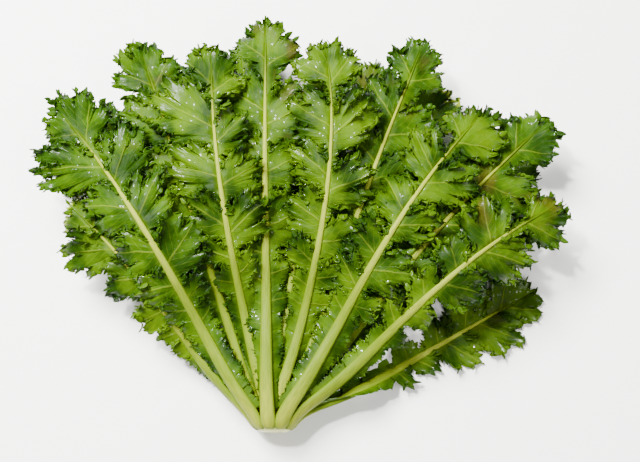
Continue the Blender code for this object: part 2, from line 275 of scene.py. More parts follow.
@dataclass(frozen=True)
class LeafPlan:
    """Where one leaf stands and runs. Angles are in degrees, from +Y towards +X."""

    name: str
    ring: Ring
    place: int
    fan: float
    bend: float
    layer: Layer
    length: float
    left: float
    right: float
    tone: float
    detail: Detail
    layout: HeadLayout
    form: LeafForm = LeafForm()

    @property
    def bearing(self) -> float:
        """Give the leaf's place round the stump's axis in degrees, from -90 to 270."""
        return (self.ring.first_bearing - self.ring.step * self.place + 90.0) % 360.0 - 90.0

    @property
    def underside(self) -> bool:
        """Say whether the leaf's back faces down."""
        return self.layer < Layer.HEART_HIGH

    def width(self, share: Array) -> Array:
        """Give the rib's width.

        Args:
            share: shares of the leaf's length.

        Returns:
            The width at each share.
        """
        form, left = self.form, np.clip(1.0 - share, 0.0, 1.0)
        foot = self.ring.rib_width * mix(form.foot_width, 1.0, ease(share / form.foot_end))
        return mix(form.tip_width, foot, left**form.width_fall)

    def depth(self, share: Array) -> Array:
        """Give the rib's depth at shares of the leaf's length."""
        form, left = self.form, np.clip(1.0 - share, 0.0, 1.0)
        return mix(form.tip_depth, self.ring.rib_depth, left**form.depth_fall)

    def reach(self, share: Array, side: Side) -> Array:
        """Give how far the blade reaches from the rib.

        Args:
            share: shares of the leaf's length.
            side: the blade's side of the rib.

        Returns:
            The reach at each share.
        """
        form = self.form
        risen = (form.blade_end * np.clip(share, 0.0, 1.0)) ** form.blade_rise
        full = np.sin(np.pi * risen) ** form.blade_roundness
        widest = self.right if (side is Side.RIGHT) != self.underside else self.left
        wing_full, filling = form.wing, form.filling
        if abs(self.fan) > form.narrow_from:
            wing_full, filling = form.narrow_wing, 0.0
        wing = mix(form.wing_foot, wing_full, ease((share - form.wing_start) / form.wing_rise))
        faded = form.wing_fade_by * ease((share - form.wing_fade_start) / form.wing_fade)
        bulge = np.exp(-(((share - form.filling_place) / form.filling_spread) ** 2))
        return wing * (1.0 - faded) + filling * bulge + widest * full

    def rib_place(self, along: Array) -> tuple[Array, Array, Array]:
        """Follow the rib over the head's plan.

        Args:
            along: distances along the rib.

        Returns:
            The rib's two plan coordinates and its direction in radians.
        """
        grown = np.maximum(along, 0.0)
        fade = np.exp(-grown / self.layout.turn_out)
        share = grown / self.length
        angle = np.radians(self.fan * (1.0 - fade) + self.bend * share**2)
        swing = self.fan * fade * grown / self.layout.turn_out + 2.0 * self.bend * share**2
        side = self.foot_radius(along) * math.cos(math.radians(self.bearing))
        x = side + grown * np.sin(angle)
        y = self.ring.start + grown * np.cos(angle) + np.minimum(along, 0.0)
        return x, y, angle + np.radians(swing)

    def foot_radius(self, along: Array) -> Array:
        """Give how far the rib's foot stands from the stump's axis, at distances along it."""
        flared = 1.0 - np.exp(-along / self.layout.flare_length)
        return self.ring.radius + self.ring.flare * flared

    def place_points(self, along: Array, across: Array, out: Array) -> Array:
        """Place points of the leaf in the head.

        Args:
            along: distances along the rib.
            across: distances to its side.
            out: distances towards the leaf's back.

        Returns:
            The points, with their coordinates on the last axis.
        """
        layout = self.layout
        settled_roll = 0.0
        if self.underside:
            settled_roll = 180.0 if self.bearing > 90.0 else -180.0
        roll = np.radians(mix(self.bearing - 90.0, settled_roll, ease(along / layout.roll_end)))
        x, y, angle = self.rib_place(along)
        rise = self.foot_radius(along) * math.sin(math.radians(self.bearing))
        foot = layout.axis_height + rise
        span = layout.settle_end - layout.settle_start
        settled = ease((np.hypot(x, y) - layout.settle_start) / span)
        sideways = across * np.cos(roll) - out * np.sin(roll)
        px = x + sideways * np.cos(angle)
        py = y - sideways * np.sin(angle)
        layer = layout.lowest_layer + (self.layer - 1) * layout.gap(px, py)
        if self.layer is Layer.BOTTOM:
            lain = layout.pressed * self.depth(along / self.length) + 0.4 * layout.blade
            layer = np.minimum(layer, lain)
        height = mix(foot, layer, settled)
        pz = height + across * np.sin(roll) + out * np.cos(roll)
        return np.stack([px, py, pz], axis=-1)


@dataclass
class MeshParts:
    """Points, faces and point attributes gathered for one mesh."""

    points: list[Array] = field(default_factory=list)
    faces: list[Array] = field(default_factory=list)
    values: dict[str, list[Array]] = field(default_factory=dict)
    count: int = 0

    def add(self, points: Array, faces: list[Array], values: dict[str, Number]) -> None:
        """Add a block of points with its faces and attributes.

        Args:
            points: the points.
            faces: arrays of faces, each with its own number of corners, counted in this block.
            values: for each attribute one value, or one for each point.
        """
        points = points.reshape(-1, 3)
        self.points.append(points)
        self.faces += [block + self.count for block in faces]
        for name, value in values.items():
            full = np.full(len(points), value) if np.ndim(value) == 0 else np.ravel(value)
            self.values.setdefault(name, []).append(full)
        self.count += len(points)

    def add_mesh(
        self, mesh: bpy.types.Mesh, move: Array, turn: Array, values: dict[str, Number]
    ) -> None:
        """Add a plain mesh, turned and moved.

        Args:
            mesh: the mesh.
            move: how far it moves.
            turn: the 3 x 3 matrix that turns it first.
            values: its attributes.
        """
        points = np.array([v.co[:] for v in mesh.vertices]) @ turn.T + move
        faces = [[tuple(p.vertices) for p in mesh.polygons if len(p.vertices) == n] for n in (3, 4)]
        self.add(points, [np.array(block) for block in faces if block], values)

    def move(self, shift: Array) -> None:
        """Move all that has been added."""
        self.points = [block + shift for block in self.points]

    def build(self, name: str, material: bpy.types.Material) -> bpy.types.Object:
        """Make the mesh object.

        Args:
            name: the object's name.
            material: its only material.

        Returns:
            The object, linked to the scene, shaded smooth.
        """
        mesh = bpy.data.meshes.new(name)
        faces = [tuple(face) for block in self.faces for face in block.tolist()]
        mesh.from_pydata(np.concatenate(self.points).tolist(), [], faces)
        for label, blocks in self.values.items():
            attribute = mesh.attributes.new(label, "FLOAT", "POINT")
            attribute.data.foreach_set("value", np.concatenate(blocks))
        mesh.polygons.foreach_set("use_smooth", [True] * len(mesh.polygons))
        mesh.materials.append(material)
        mesh.update()
        return add_object(name, mesh)


def add_object(name: str, data: bpy.types.ID) -> bpy.types.Object:
    """Put an object in the scene.

    Args:
        name: its name.
        data: its mesh, lamp or camera.

    Returns:
        The object, at the origin.
    """
    made = bpy.data.objects.new(name, data)
    bpy.context.scene.collection.objects.link(made)
    return made


def grid_faces(rows: int, columns: int, offset: int, turned: bool) -> Array:
    """Give the quads of a grid of points.

    Args:
        rows: the number of rows of points.
        columns: the number of points in a row.
        offset: the number of the grid's first point.
        turned: whether the quads face the other way.

    Returns:
        The quads, four point numbers each.
    """
    starts = np.arange(rows - 1)[:, None] * columns + np.arange(columns - 1)[None, :]
    first = starts.ravel() + offset
    quads = np.stack([first, first + 1, first + columns + 1, first + columns], axis=1)
    return quads[:, ::-1] if turned else quads


def shell_faces(rows: int, columns: int, turned: bool) -> list[Array]:
    """Give the quads of a thin closed shell: two grids of points, one after the other.

    Args:
        rows: the number of rows of points in a grid.
        columns: the number of points in a row.
        turned: whether the quads face the other way.

    Returns:
        The quads of the two sides and of the wall between their rims.
    """
    grid = np.arange(rows * columns).reshape(rows, columns)
    round_rim = (grid[:, -1], grid[-1, -2::-1], grid[-2::-1, 0], grid[0, 1:])
    rim = np.concatenate(round_rim)
    under = rim + rows * columns
    wall = np.stack([rim[:-1], under[:-1], under[1:], rim[1:]], axis=1)
    return [
        grid_faces(rows, columns, 0, turned),
        grid_faces(rows, columns, rows * columns, not turned),
        wall[:, ::-1] if turned else wall,
    ]


def tube_faces(rows: int, sides: int, turned: bool) -> list[Array]:
    """Give the quads of a tube of rings of points, closed at both ends.

    Args:
        rows: the number of rings.
        sides: the number of points in a ring, which is even.
        turned: whether the quads face the other way.

    Returns:
        The quads of the tube and of its two caps.
    """
    grid = np.arange(rows * sides).reshape(rows, sides)
    after = np.roll(grid, -1, axis=1)
    quads = np.stack([grid[:-1], after[:-1], after[1:], grid[1:]], axis=-1).reshape(-1, 4)
    caps = []
    for ring, reverse in ((grid[0], not turned), (grid[-1], turned)):
        for i in range(sides // 2 - 1):
            quad = (ring[i], ring[i + 1], ring[sides - 2 - i], ring[sides - 1 - i])
            caps.append(quad[::-1] if reverse else quad)
    return [quads[:, [0, 3, 2, 1]] if turned else quads, np.array(caps)]


def surface_normals(points: Array) -> Array:
    """Find the normals of a grid of points.

    Args:
        points: the grid, with the coordinates on the last axis.

    Returns:
        Unit normals, pointing to the side that columns x rows do.
    """
    normals = np.cross(np.gradient(points, axis=1), np.gradient(points, axis=0))
    size = np.linalg.norm(normals, axis=-1, keepdims=True)
    return normals / np.maximum(size, 1e-12)


@dataclass(frozen=True)
class Outline:
    """The outline of a blade's lobes.

    Angles are in degrees from the rib. Places along the leaf are shares of its length,
    places in a lobe run from -1 to 1, and other shares are of a lobe's own reach.
    """

    first: float = 0.03
    lobes_from: float = 0.17
    lobes: int = 6
    # Low on the leaf each lobe is parted again, into these many.
    low_parts: tuple[int, ...] = (3, 3, 2)
    right_shift: float = 0.29
    uneven: float = 0.2
    uneven_low: float = 0.4
    grown_from: float = 0.22
    grown_over: float = 0.24
    reach_varies: float = 0.2
    lean_foot: float = 67.0
    lean_tip: float = 42.0
    lean_change: float = 2.5
    lean_varies: float = 13.0
    spread_low: float = 10.0
    spread: float = 37.0
    spread_less: float = 10.0
    spread_more: float = 8.0
    spread_change: float = 1.2
    top_low: float = 0.95
    top: float = 0.57
    sinus_low: float = 0.85
    sinus: float = 0.26
    sinus_shown: float = 0.09
    middle_reach: float = 1.06
    edge_fall: float = 0.14
    edge_sharpness: float = 4.0
    lobule: float = 10.0 * MM
    lobule_shift: float = 0.2
    notch: float = 0.38
    notch_varies: float = 0.5
    notch_sharpness: float = 0.7
    notch_full_size: float = 16.0 * MM
    # The end of the leaf is rounded by rows that swing to straight ahead.
    end: float = 0.55
    end_start: float = -0.45
    end_turn: float = -5.0
    end_reach: float = 0.34
    end_least: float = 2.0 * MM
    rows: int = 200

    def edges(self, side: Side, rng: np.random.Generator) -> list[float]:
        """Place the lobes' edges along the rib.

        Args:
            side: the blade's side of the rib.
            rng: the seeded source of the draw.

        Returns:
            The shares of the leaf's length at which one lobe ends and the next starts.
        """
        step = (1.0 - self.lobes_from) / self.lobes
        shift = self.right_shift if side is Side.RIGHT else 0.0
        main = [self.lobes_from + step * (k - shift) for k in range(self.lobes)] + [1.0]
        edges = [self.first]
        for high, parts in zip(main, self.low_parts):
            low = edges[-1]
            edges += [mix(low, high, (i + 1) / parts) for i in range(parts)]
        grown = main[len(self.low_parts) :]
        edges += grown
        # No two lobes are alike: the places where they part wander along the rib.
        wander = step * self.uneven * rng.uniform(-1.0, 1.0, len(edges))
        wander[: -len(grown)] *= self.uneven_low
        wander[[0, -1]] = 0.0
        return (np.array(edges) + wander).tolist()

    def lobe(
        self, low: float, high: float, size: float, last: bool, shown: bool,
        rng: np.random.Generator,
    ) -> dict[str, Array]:
        """Draw one lobe as rows along its margin.

        Args:
            low: the share of the leaf's length at which it starts.
            high: the share at which it ends.
            size: how far such a lobe reaches.
            last: whether it is the leaf's end.
            shown: whether the leaf lies on top, with its gaps open to see.
            rng: the seeded source of the draw.

        Returns:
            For each row its place along the leaf, its place in the lobe, its direction, its
            reach, the lobe's foot and direction, and how far it has swung to close the leaf.
        """
        middle = 0.5 * (low + high)
        grown = float(ease((middle - self.grown_from) / self.grown_over))
        size *= 1.0 + self.reach_varies * rng.uniform(-1.0, 1.0)
        lean = mix(self.lean_foot, self.lean_tip, middle**self.lean_change)
        lean += rng.uniform(-self.lean_varies, self.lean_varies)
        spread = self.spread + rng.uniform(-self.spread_less, self.spread_more)
        end = self.end if last else 1.0
        off = np.linspace(-1.0, end, self.rows, endpoint=last)
        inner = np.clip(np.abs(off) / mix(self.top_low, self.top, grown), 0.0, 1.0)
        sinus = self.sinus_shown if shown else self.sinus
        least = mix(self.sinus_low, sinus, grown) * size
        full = size * (self.middle_reach - self.edge_fall * inner)
        reach = least + (full - least) * (1.0 - inner**self.edge_sharpness)
        reach *= 1.0 - self.notch * self.notches(off, size, inner < 1.0, rng)
        turn = lean - mix(self.spread_low, spread, grown) * np.sign(off) * inner**self.spread_change
        through = (off + 1.0) / (1.0 + end)
        closing = np.zeros_like(off)
        if last:
            closing = np.clip((off - self.end_start) / (end - self.end_start), 0.0, 1.0)
            turn = mix(turn, self.end_turn, closing)
            reach = mix(reach, self.end_reach * size + self.end_least, closing**0.8)
            through = through**0.7
        flat = np.ones_like(off)
        return {
            "share": mix(low, high, through),
            "off": off,
            "turn": turn,
            "reach": reach,
            "root": middle * flat,
            "lean": lean * flat,
            "closing": closing,
        }

    def notches(self, off: Array, size: float, top: Array, rng: np.random.Generator) -> Array:
        """Part a lobe's top into lobules.

        Args:
            off: places in the lobe.
            size: how far the lobe reaches.
            top: whether each place is on the lobe's top.
            rng: the seeded source of the draw.

        Returns:
            How deep each place is notched, as a share of the full notch.
        """
        lobules = max(1, round(size / self.lobule))
        shift = rng.uniform(-self.lobule_shift, self.lobule_shift)
        phase = 0.5 * (off / self.top + 1.0) * lobules + shift
        depths = rng.uniform(1.0 - self.notch_varies, 1.0 + self.notch_varies, lobules + 5)
        depth = depths[np.floor(phase + 1.0).astype(int)]
        notch = (1.0 - np.abs(np.sin(np.pi * phase)) ** self.notch_sharpness) * top * depth
        return notch * min(1.0, size / self.notch_full_size)


@dataclass(frozen=True)
class Teeth:
    """The small teeth of a blade's margin."""

    size: float = 3.5 * MM
    size_small: float = 0.45
    size_varies: float = 0.6
    size_run: float = 3.5 * MM
    pitch_small: float = 3.2 * MM
    pitch: float = 5.4 * MM
    pitch_varies: float = 0.35
    pitch_run: float = 9.0 * MM
    grown_reach: float = 14.0 * MM
    peak: float = 0.35
    sunk: float = 0.6
    least_reach: float = 0.6 * MM

    def cut(self, run: Array, reach: Array, rng: np.random.Generator) -> Array:
        """Cut teeth into a margin.

        Args:
            run: distances along the margin.
            reach: how far the blade reaches at each.
            rng: the seeded source of the draw.

        Returns:
            The reach with teeth.
        """
        grown = ease(reach / self.grown_reach)
        pitch = mix(self.pitch_small, self.pitch, grown)
        pitch = pitch * (1.0 + self.pitch_varies * smooth_noise(rng, run, self.pitch_run))
        phase = np.cumsum(np.gradient(run) / pitch)
        teeth = 1.0 - np.abs(phase % 1.0 - self.peak) / (1.0 - self.peak)
        size = self.size * mix(self.size_small, 1.0, grown)
        size = size * (1.0 + self.size_varies * smooth_noise(rng, run, self.size_run))
        return np.maximum(reach + size * (teeth - self.sunk), self.least_reach)


@dataclass
class Sheet:
    """A blade laid out flat: a row of points for each step along its margin."""

    rows: dict[str, Array]
    column: Array
    along: Array
    across: Array
    free: Array
    size: Array
    calm: Array

    @property
    def reach(self) -> Array:
        """Give each row's reach."""
        return self.rows["reach"][:, None]


@dataclass(frozen=True)
class Ruffle:
    """How a blade stands up from its flat outline. Places are shares of the leaf's length."""

    swell: float = 4.6 * MM
    swell_width: float = 16.0 * MM
    bump: float = 1.2 * MM
    bump_width: float = 6.0 * MM
    fold: float = 3.22 * MM
    fold_run: float = 8.0 * MM
    room: float = 6.0 * MM
    curl: float = 3.3 * MM
    curl_length: float = 9.0 * MM
    curl_length_small: float = 4.6 * MM
    curl_width: float = 3.6 * MM
    curl_width_small: float = 1.6 * MM
    curl_over: float = 0.75
    strength_run: float = 9.0 * MM
    wander: float = 4.0
    wander_run: float = 13.0 * MM
    strength: float = 0.70
    strength_varies: float = 0.60
    stalk_curl: float = 0.12
    full_reach: float = 20.0 * MM
    clearance: float = 3.0 * MM
    rolled_rim: float = 1.3 * MM
    rolled_width: float = 2.0 * MM
    rolled_reach: float = 4.0 * MM
    shingle: float = 0.46
    droop: float = 0.50
    ring_end: float = 60.0 * MM
    stalk_fold: float = 0.55

    def bulge(self, sheet: Sheet, rng: np.random.Generator) -> Array:
        """Raise bulges over the whole blade, and folds near a lobe's edge.

        Args:
            sheet: the flat blade.
            rng: the seeded source of the draw.

        Returns:
            The height of each point towards the leaf's back.
        """
        c, along, across = sheet.column, sheet.along, sheet.across
        wide = Bulges(rng, self.swell_width).read(along, across)
        small = Bulges(rng, self.bump_width).read(along, across)
        room = np.minimum(sheet.size, sheet.free / self.room)
        fold = smooth_noise(rng, sheet.rows["run"], self.fold_run)[:, None]
        height = self.swell * wide * c**1.25 * room
        height += self.bump * small * np.sin(np.pi * np.minimum(c * 1.4, 1.0) * 0.5) * sheet.size
        return height + fold * self.fold * c**8 * room

    def curls(self, sheet: Sheet, rng: np.random.Generator) -> tuple[Array, Array]:
        """Curl the blade's rim in tight waves.

        Args:
            sheet: the flat blade.
            rng: the seeded source of the draw.

        Returns:
            The curls' height at each point and their phase in each row.
        """
        run, reach = sheet.rows["run"], sheet.reach
        length = mix(self.curl_length_small, self.curl_length, sheet.size[:, 0])
        wander = self.wander * smooth_noise(rng, run, self.wander_run)
        phase = (np.cumsum(np.gradient(run) / length) * math.tau + wander)[:, None]
        varied = self.strength_varies * smooth_noise(rng, run, self.strength_run)
        strength = (self.strength + varied)[:, None]
        low_down = mix(self.stalk_curl, 1.0, ease((sheet.rows["share"][:, None] - 0.25) / 0.2))
        height = np.minimum(self.curl * strength * mix(0.7, 1.0, sheet.size), 0.4 * reach)
        width = mix(self.curl_width_small, self.curl_width, sheet.size)
        edge = np.exp(-(((1.0 - sheet.column) * reach / width) ** 1.5))
        return height * low_down * sheet.calm * edge, phase

    def lie(self, sheet: Sheet, top: float, rng: np.random.Generator) -> Array:
        """Lay the lobes like shingles, let some droop, and roll up the rims of the gaps.

        Args:
            sheet: the flat blade.
            top: the share of a lobe's foot that carries blade.
            rng: the seeded source of the draw.

        Returns:
            The height of each point towards the leaf's back.
        """
        c, reach, size = sheet.column, sheet.reach, sheet.size
        off = np.clip(sheet.rows["off"][:, None] / top, -1.0, 1.0)
        tilt = self.shingle * np.sin(off * 0.5 * np.pi) * c**1.6
        droops = rng.uniform(-1.0, 0.5, Bulges.KNOTS)
        droop = self.droop * droops[sheet.rows["lobe"].astype(int)][:, None] * c**2.2
        rim = np.exp(-(1.0 - c) * reach / self.rolled_width) * ease(reach / self.rolled_reach)
        return sheet.free * size * (tilt + droop) + self.rolled_rim * rim * (1.0 - size)


@dataclass
class Blade:
    """One half of a leaf's blade: lobes with teeth, ruffled towards the margin."""

    plan: LeafPlan
    side: Side
    rng: np.random.Generator
    outline: Outline = Outline()
    teeth: Teeth = Teeth()
    ruffle: Ruffle = Ruffle()
    thickness: float = 0.5 * MM
    rim_thickness: float = 0.35
    root: float = 0.35

    def margin(self) -> dict[str, Array]:
        """Draw the margin as dense rows.

        Returns:
            What Outline.lobe() gives for each row, and the lobe's number.
        """
        edges = self.outline.edges(self.side, self.rng)
        blocks = []
        for number, (low, high) in enumerate(zip(edges, edges[1:])):
            size = float(self.plan.reach(np.array(0.5 * (low + high)), self.side))
            last, shown = number == len(edges) - 2, self.plan.layer is Layer.TOP
            block = self.outline.lobe(low, high, size, last, shown, self.rng)
            block["lobe"] = np.full_like(block["off"], number)
            blocks.append(block)
        return {k: np.concatenate([block[k] for block in blocks]) for k in blocks[0]}

    def spaced(self, rows: dict[str, Array]) -> dict[str, Array]:
        """Take rows at equal steps along the margin, and cut the teeth there.

        Args:
            rows: the rows that margin() gives.

        Returns:
            The rows taken, with their distances along the margin.
        """
        length = self.plan.length
        turn = np.radians(rows["turn"])
        ahead = rows["share"] * length + rows["reach"] * np.cos(turn)
        across = rows["reach"] * np.sin(turn)
        step = np.hypot(np.diff(ahead), np.diff(across))
        step = step + 0.25 * np.abs(np.diff(rows["share"])) * length
        run = np.concatenate([[0.0], np.cumsum(step)])
        at = np.linspace(0.0, run[-1], int(run[-1] / self.plan.detail.step))
        taken = {k: np.interp(at, run, v) for k, v in rows.items()}
        taken["lobe"] = np.round(taken["lobe"])
        taken["run"] = at
        taken["reach"] = self.teeth.cut(at, taken["reach"], self.rng)
        return taken

    def lay_out(self, rows: dict[str, Array]) -> Sheet:
        """Lay the blade out flat.

        Args:
            rows: the rows that spaced() gives.

        Returns:
            The flat blade.
        """
        plan = self.plan
        # Columns stand closer together towards the margin, where the blade curls most.
        c = (1.0 - (1.0 - np.linspace(0.0, 1.0, plan.detail.columns)) ** 1.5)[None, :]
        share, reach = rows["share"][:, None], rows["reach"][:, None]
        turn = np.radians(rows["turn"])[:, None]
        half_rib = 0.5 * plan.width(share)
        along = share * plan.length + c * reach * np.cos(turn)
        across = mix(self.root * half_rib, half_rib + reach * np.sin(turn), c)
        # The two blades meet along the middle at the leaf's end, so nothing lifts there.
        calm = 1.0 - ease((rows["closing"][:, None] - 0.35) / 0.6)
        size = ease(reach / self.ruffle.full_reach) * calm
        x, y, _ = plan.rib_place(np.clip(along, 0.0, plan.length))
        free = np.maximum(0.0, plan.layout.gap(x, y) - self.ruffle.clearance)
        return Sheet(rows, c, along, across, free, size, calm)

    def middle_surface(self, sheet: Sheet) -> Array:
        """Place the blade's middle surface.

        Args:
            sheet: the flat blade.

        Returns:
            The grid of points.
        """
        plan, ruffle = self.plan, self.ruffle
        along, across, calm = sheet.along, sheet.across, sheet.calm
        share = sheet.rows["share"][:, None]
        half_rib = 0.5 * plan.width(share)
        out = ruffle.bulge(sheet, self.rng)
        height, phase = ruffle.curls(sheet, self.rng)
        out += height * np.sin(phase) + ruffle.lie(sheet, self.outline.top, self.rng)
        # Low on the stalk the wings follow the ring of leaves round the stump.
        out -= across**2 / plan.ring.radius * (1.0 - ease(along / ruffle.ring_end))
        folded = ruffle.stalk_fold * (1.0 - ease((share - 0.16) / 0.26))
        out -= folded * (across - self.root * half_rib)
        if plan.layer is Layer.BOTTOM:
            out = -np.abs(out)
        # The curls lean over as well as standing up.
        ahead, aside = np.gradient(along[:, -1])[:, None], np.gradient(across[:, -1])[:, None]
        lean = ruffle.curl_over * height * np.cos(phase + 0.4)
        lean /= np.maximum(np.hypot(ahead, aside), 1e-9)
        least = mix(0.2, -1.0, 1.0 - calm) * half_rib
        across = np.maximum(across + lean * aside, least)
        out += 0.15 * MM * self.side.value * (1.0 - calm)
        points = plan.place_points(along + lean * ahead, self.side.value * across, out)
        points[..., 2] = np.maximum(points[..., 2], 0.6 * self.thickness)
        return points

    def attributes(self, sheet: Sheet) -> dict[str, Number]:
        """Say where each point lies on the blade, for the leaf's material.

        Args:
            sheet: the flat blade.

        Returns:
            The attributes' values, distances among them in mm.
        """
        rows, c, reach = sheet.rows, sheet.column, sheet.reach
        turn, lean = np.radians(rows["turn"])[:, None], np.radians(rows["lean"])[:, None]
        ahead = (rows["share"] - rows["root"])[:, None] * self.plan.length
        ahead = ahead + c * reach * np.cos(turn)
        aside = c * reach * np.sin(turn)
        shape = np.broadcast_shapes(c.shape, reach.shape)
        return {
            "rib_distance": c * reach / MM,
            "vein_distance": (ahead * np.sin(lean) - aside * np.cos(lean)) / MM,
            "vein_run": (ahead * np.cos(lean) + aside * np.sin(lean)) / MM,
            "to_margin": np.broadcast_to(c, shape),
            "along": np.broadcast_to(rows["share"][:, None], shape),
            "size": np.broadcast_to(reach / MM, shape),
        }

    def add_to(self, parts: MeshParts) -> Array:
        """Add the blade to a leaf's mesh as one closed shell.

        Args:
            parts: the leaf's mesh.

        Returns:
            A row for each point of its margin, from the foot to the tip: the point, the
            direction outwards, and the share of the leaf's length it stands at.
        """
        rows = self.spaced(self.margin())
        sheet = self.lay_out(rows)
        points = self.middle_surface(sheet)
        thin = mix(1.0, self.rim_thickness, sheet.column[..., None] ** 6)
        half = surface_normals(points) * self.side.value * (0.5 * self.thickness * thin)
        both = np.stack([points + half, points - half])
        both[..., 2] = np.maximum(both[..., 2], 0.0)
        values = {k: np.tile(np.ravel(v), 2) for k, v in self.attributes(sheet).items()}
        values |= {"ribness": 0.0, "round": 0.0, "tone": self.plan.tone}
        turned = self.side is Side.LEFT
        parts.add(both, shell_faces(*points.shape[:2], turned), values)
        outward = points[:, -1] - points[:, -4]
        return np.concatenate([points[:, -1], outward, rows["share"][:, None]], axis=1)


@dataclass
class Rib:
    """The fleshy midrib of a leaf, from its foot on the stump to the tip of the blade."""

    plan: LeafPlan
    beyond: float = 1.015
    foot: float = 5.0 * MM
    foot_rounding: float = 4.0 * MM
    tip_rounding: float = 0.10
    back: float = 0.5
    face: float = 0.28
    groove: float = 0.10 * MM
    grooves: float = 6.0

    def add_to(self, parts: MeshParts) -> None:
        """Add the rib to a leaf's mesh as one closed tube.

        Args:
            parts: the leaf's mesh.
        """
        plan, blade = self.plan, self.plan.layout.blade
        rows, sides = plan.detail.rib_rows, plan.detail.rib_sides
        low = -self.foot / plan.length
        share = mix(low, self.beyond, np.linspace(0.0, 1.0, rows) ** 1.25)[:, None]
        turn = (np.arange(sides) / sides * math.tau)[None, :]
        end = np.sqrt(np.clip((self.beyond - share) / self.tip_rounding, 0.0, 1.0))
        from_foot = np.clip((share - low) * plan.length / self.foot_rounding, 0.0, 1.0)
        start = mix(0.45, 1.0, np.sqrt(from_foot))
        half_width = 0.5 * plan.width(share) * mix(0.35, 1.0, end) * start
        rounded = mix(0.3, 1.0, end) * start
        back = (self.back * plan.depth(share) + 0.5 * blade) * rounded
        face = (self.face * plan.depth(share) + 0.35 * blade) * rounded
        # The powers square the round section off a little.
        across = half_width * np.sign(np.cos(turn)) * np.abs(np.cos(turn)) ** 0.85
        bulge = np.sign(np.sin(turn)) * np.abs(np.sin(turn)) ** 0.8
        out = np.where(bulge > 0.0, back, face) * bulge
        out -= self.groove * np.cos(self.grooves * turn) * (bulge > 0.2) * (1.0 - share)
        points = plan.place_points(share * plan.length + 0.0 * turn, across, out)
        points[..., 2] = np.maximum(points[..., 2], 0.0)
        flat = ("rib_distance", "vein_distance", "vein_run", "to_margin", "size")
        values = dict.fromkeys(flat, 0.0) | {"ribness": 1.0, "tone": plan.tone}
        values["along"] = np.broadcast_to(share, (rows, sides))
        values["round"] = np.broadcast_to(turn, (rows, sides))
        parts.add(points, tube_faces(rows, sides, False), values)


class Kind(Enum):
    """A kind of node: its type, its settings, the inputs it is given in order, its output."""

    ATTRIBUTE = ("ShaderNodeAttribute", {}, (), "Fac")
    PLACE = ("ShaderNodeTexCoord", {}, (), "Object")
    NOISE = ("ShaderNodeTexNoise", {}, ("Vector", "Scale", "Detail"), "Fac")
    CELLS = ("ShaderNodeTexVoronoi", {}, ("Vector", "Scale"), "Distance")
    SOFT_CELLS = ("ShaderNodeTexVoronoi", {"feature": "SMOOTH_F1"}, ("Vector", "Scale"), "Distance")
    BLEND = ("ShaderNodeMix", {"data_type": "RGBA"}, (0, 6, 7), 2)
    STEP = ("ShaderNodeMapRange", {"interpolation_type": "SMOOTHSTEP"}, (0, 1, 2), 0)
    RANGE = ("ShaderNodeMapRange", {}, (0, 1, 2, 3, 4), 0)
    BUMP = ("ShaderNodeBump", {}, ("Height", "Strength", "Distance", "Normal"), 0)
    JOIN = ("ShaderNodeCombineXYZ", {}, (0, 1, 2), 0)
    SPLIT = ("ShaderNodeSeparateXYZ", {}, (0,), 0)
    ADD = ("ShaderNodeMath", {"operation": "ADD"}, (0, 1), 0)
    SUBTRACT = ("ShaderNodeMath", {"operation": "SUBTRACT"}, (0, 1), 0)
    MULTIPLY = ("ShaderNodeMath", {"operation": "MULTIPLY"}, (0, 1), 0)
    MULTIPLY_ADD = ("ShaderNodeMath", {"operation": "MULTIPLY_ADD"}, (0, 1, 2), 0)
    DIVIDE = ("ShaderNodeMath", {"operation": "DIVIDE"}, (0, 1), 0)
    POWER = ("ShaderNodeMath", {"operation": "POWER"}, (0, 1), 0)
    LARGER = ("ShaderNodeMath", {"operation": "MAXIMUM"}, (0, 1), 0)
    ABSOLUTE = ("ShaderNodeMath", {"operation": "ABSOLUTE"}, (0,), 0)
    FRACTION = ("ShaderNodeMath", {"operation": "FRACT"}, (0,), 0)
    SINE = ("ShaderNodeMath", {"operation": "SINE"}, (0,), 0)
    COSINE = ("ShaderNodeMath", {"operation": "COSINE"}, (0,), 0)
    CIRCLE = ("GeometryNodeMeshCircle", {}, ("Vertices", "Radius"), "Mesh")
    BALL = ("GeometryNodeMeshUVSphere", {}, ("Segments", "Rings", "Radius"), "Mesh")
    POSITION = ("GeometryNodeInputPosition", {}, (), 0)
    NUDGE = ("GeometryNodeSetPosition", {}, ("Geometry", "Offset"), 0)
    RESHAPE = ("GeometryNodeSetPosition", {}, ("Geometry", "Position"), 0)
    CHAIN = ("GeometryNodeMeshToCurve", {}, ("Mesh",), 0)
    RESAMPLE = ("GeometryNodeResampleCurve", {"mode": "LENGTH"}, ("Curve", "Length"), 0)
    NAMED = ("GeometryNodeInputNamedAttribute", {"data_type": "FLOAT_VECTOR"}, ("Name",), 0)
    ALIGN = ("FunctionNodeAlignRotationToVector", {"axis": "Y"}, ("Vector",), 0)
    TURN = ("FunctionNodeRotateRotation", {"rotation_space": "LOCAL"}, (0, 1), 0)
    DRAW = ("FunctionNodeRandomValue", {}, (2, 3, "Seed"), 1)
    DRAW_VECTOR = (
        "FunctionNodeRandomValue", {"data_type": "FLOAT_VECTOR"}, ("Min", "Max", "Seed"), "Value"
    )
    PLANT = ("GeometryNodeInstanceOnPoints", {}, ("Points", "Instance", "Scale", "Rotation"), 0)
    REALIZE = ("GeometryNodeRealizeInstances", {}, ("Geometry",), 0)
    DRESS = ("GeometryNodeSetMaterial", {}, ("Geometry", "Material"), 0)


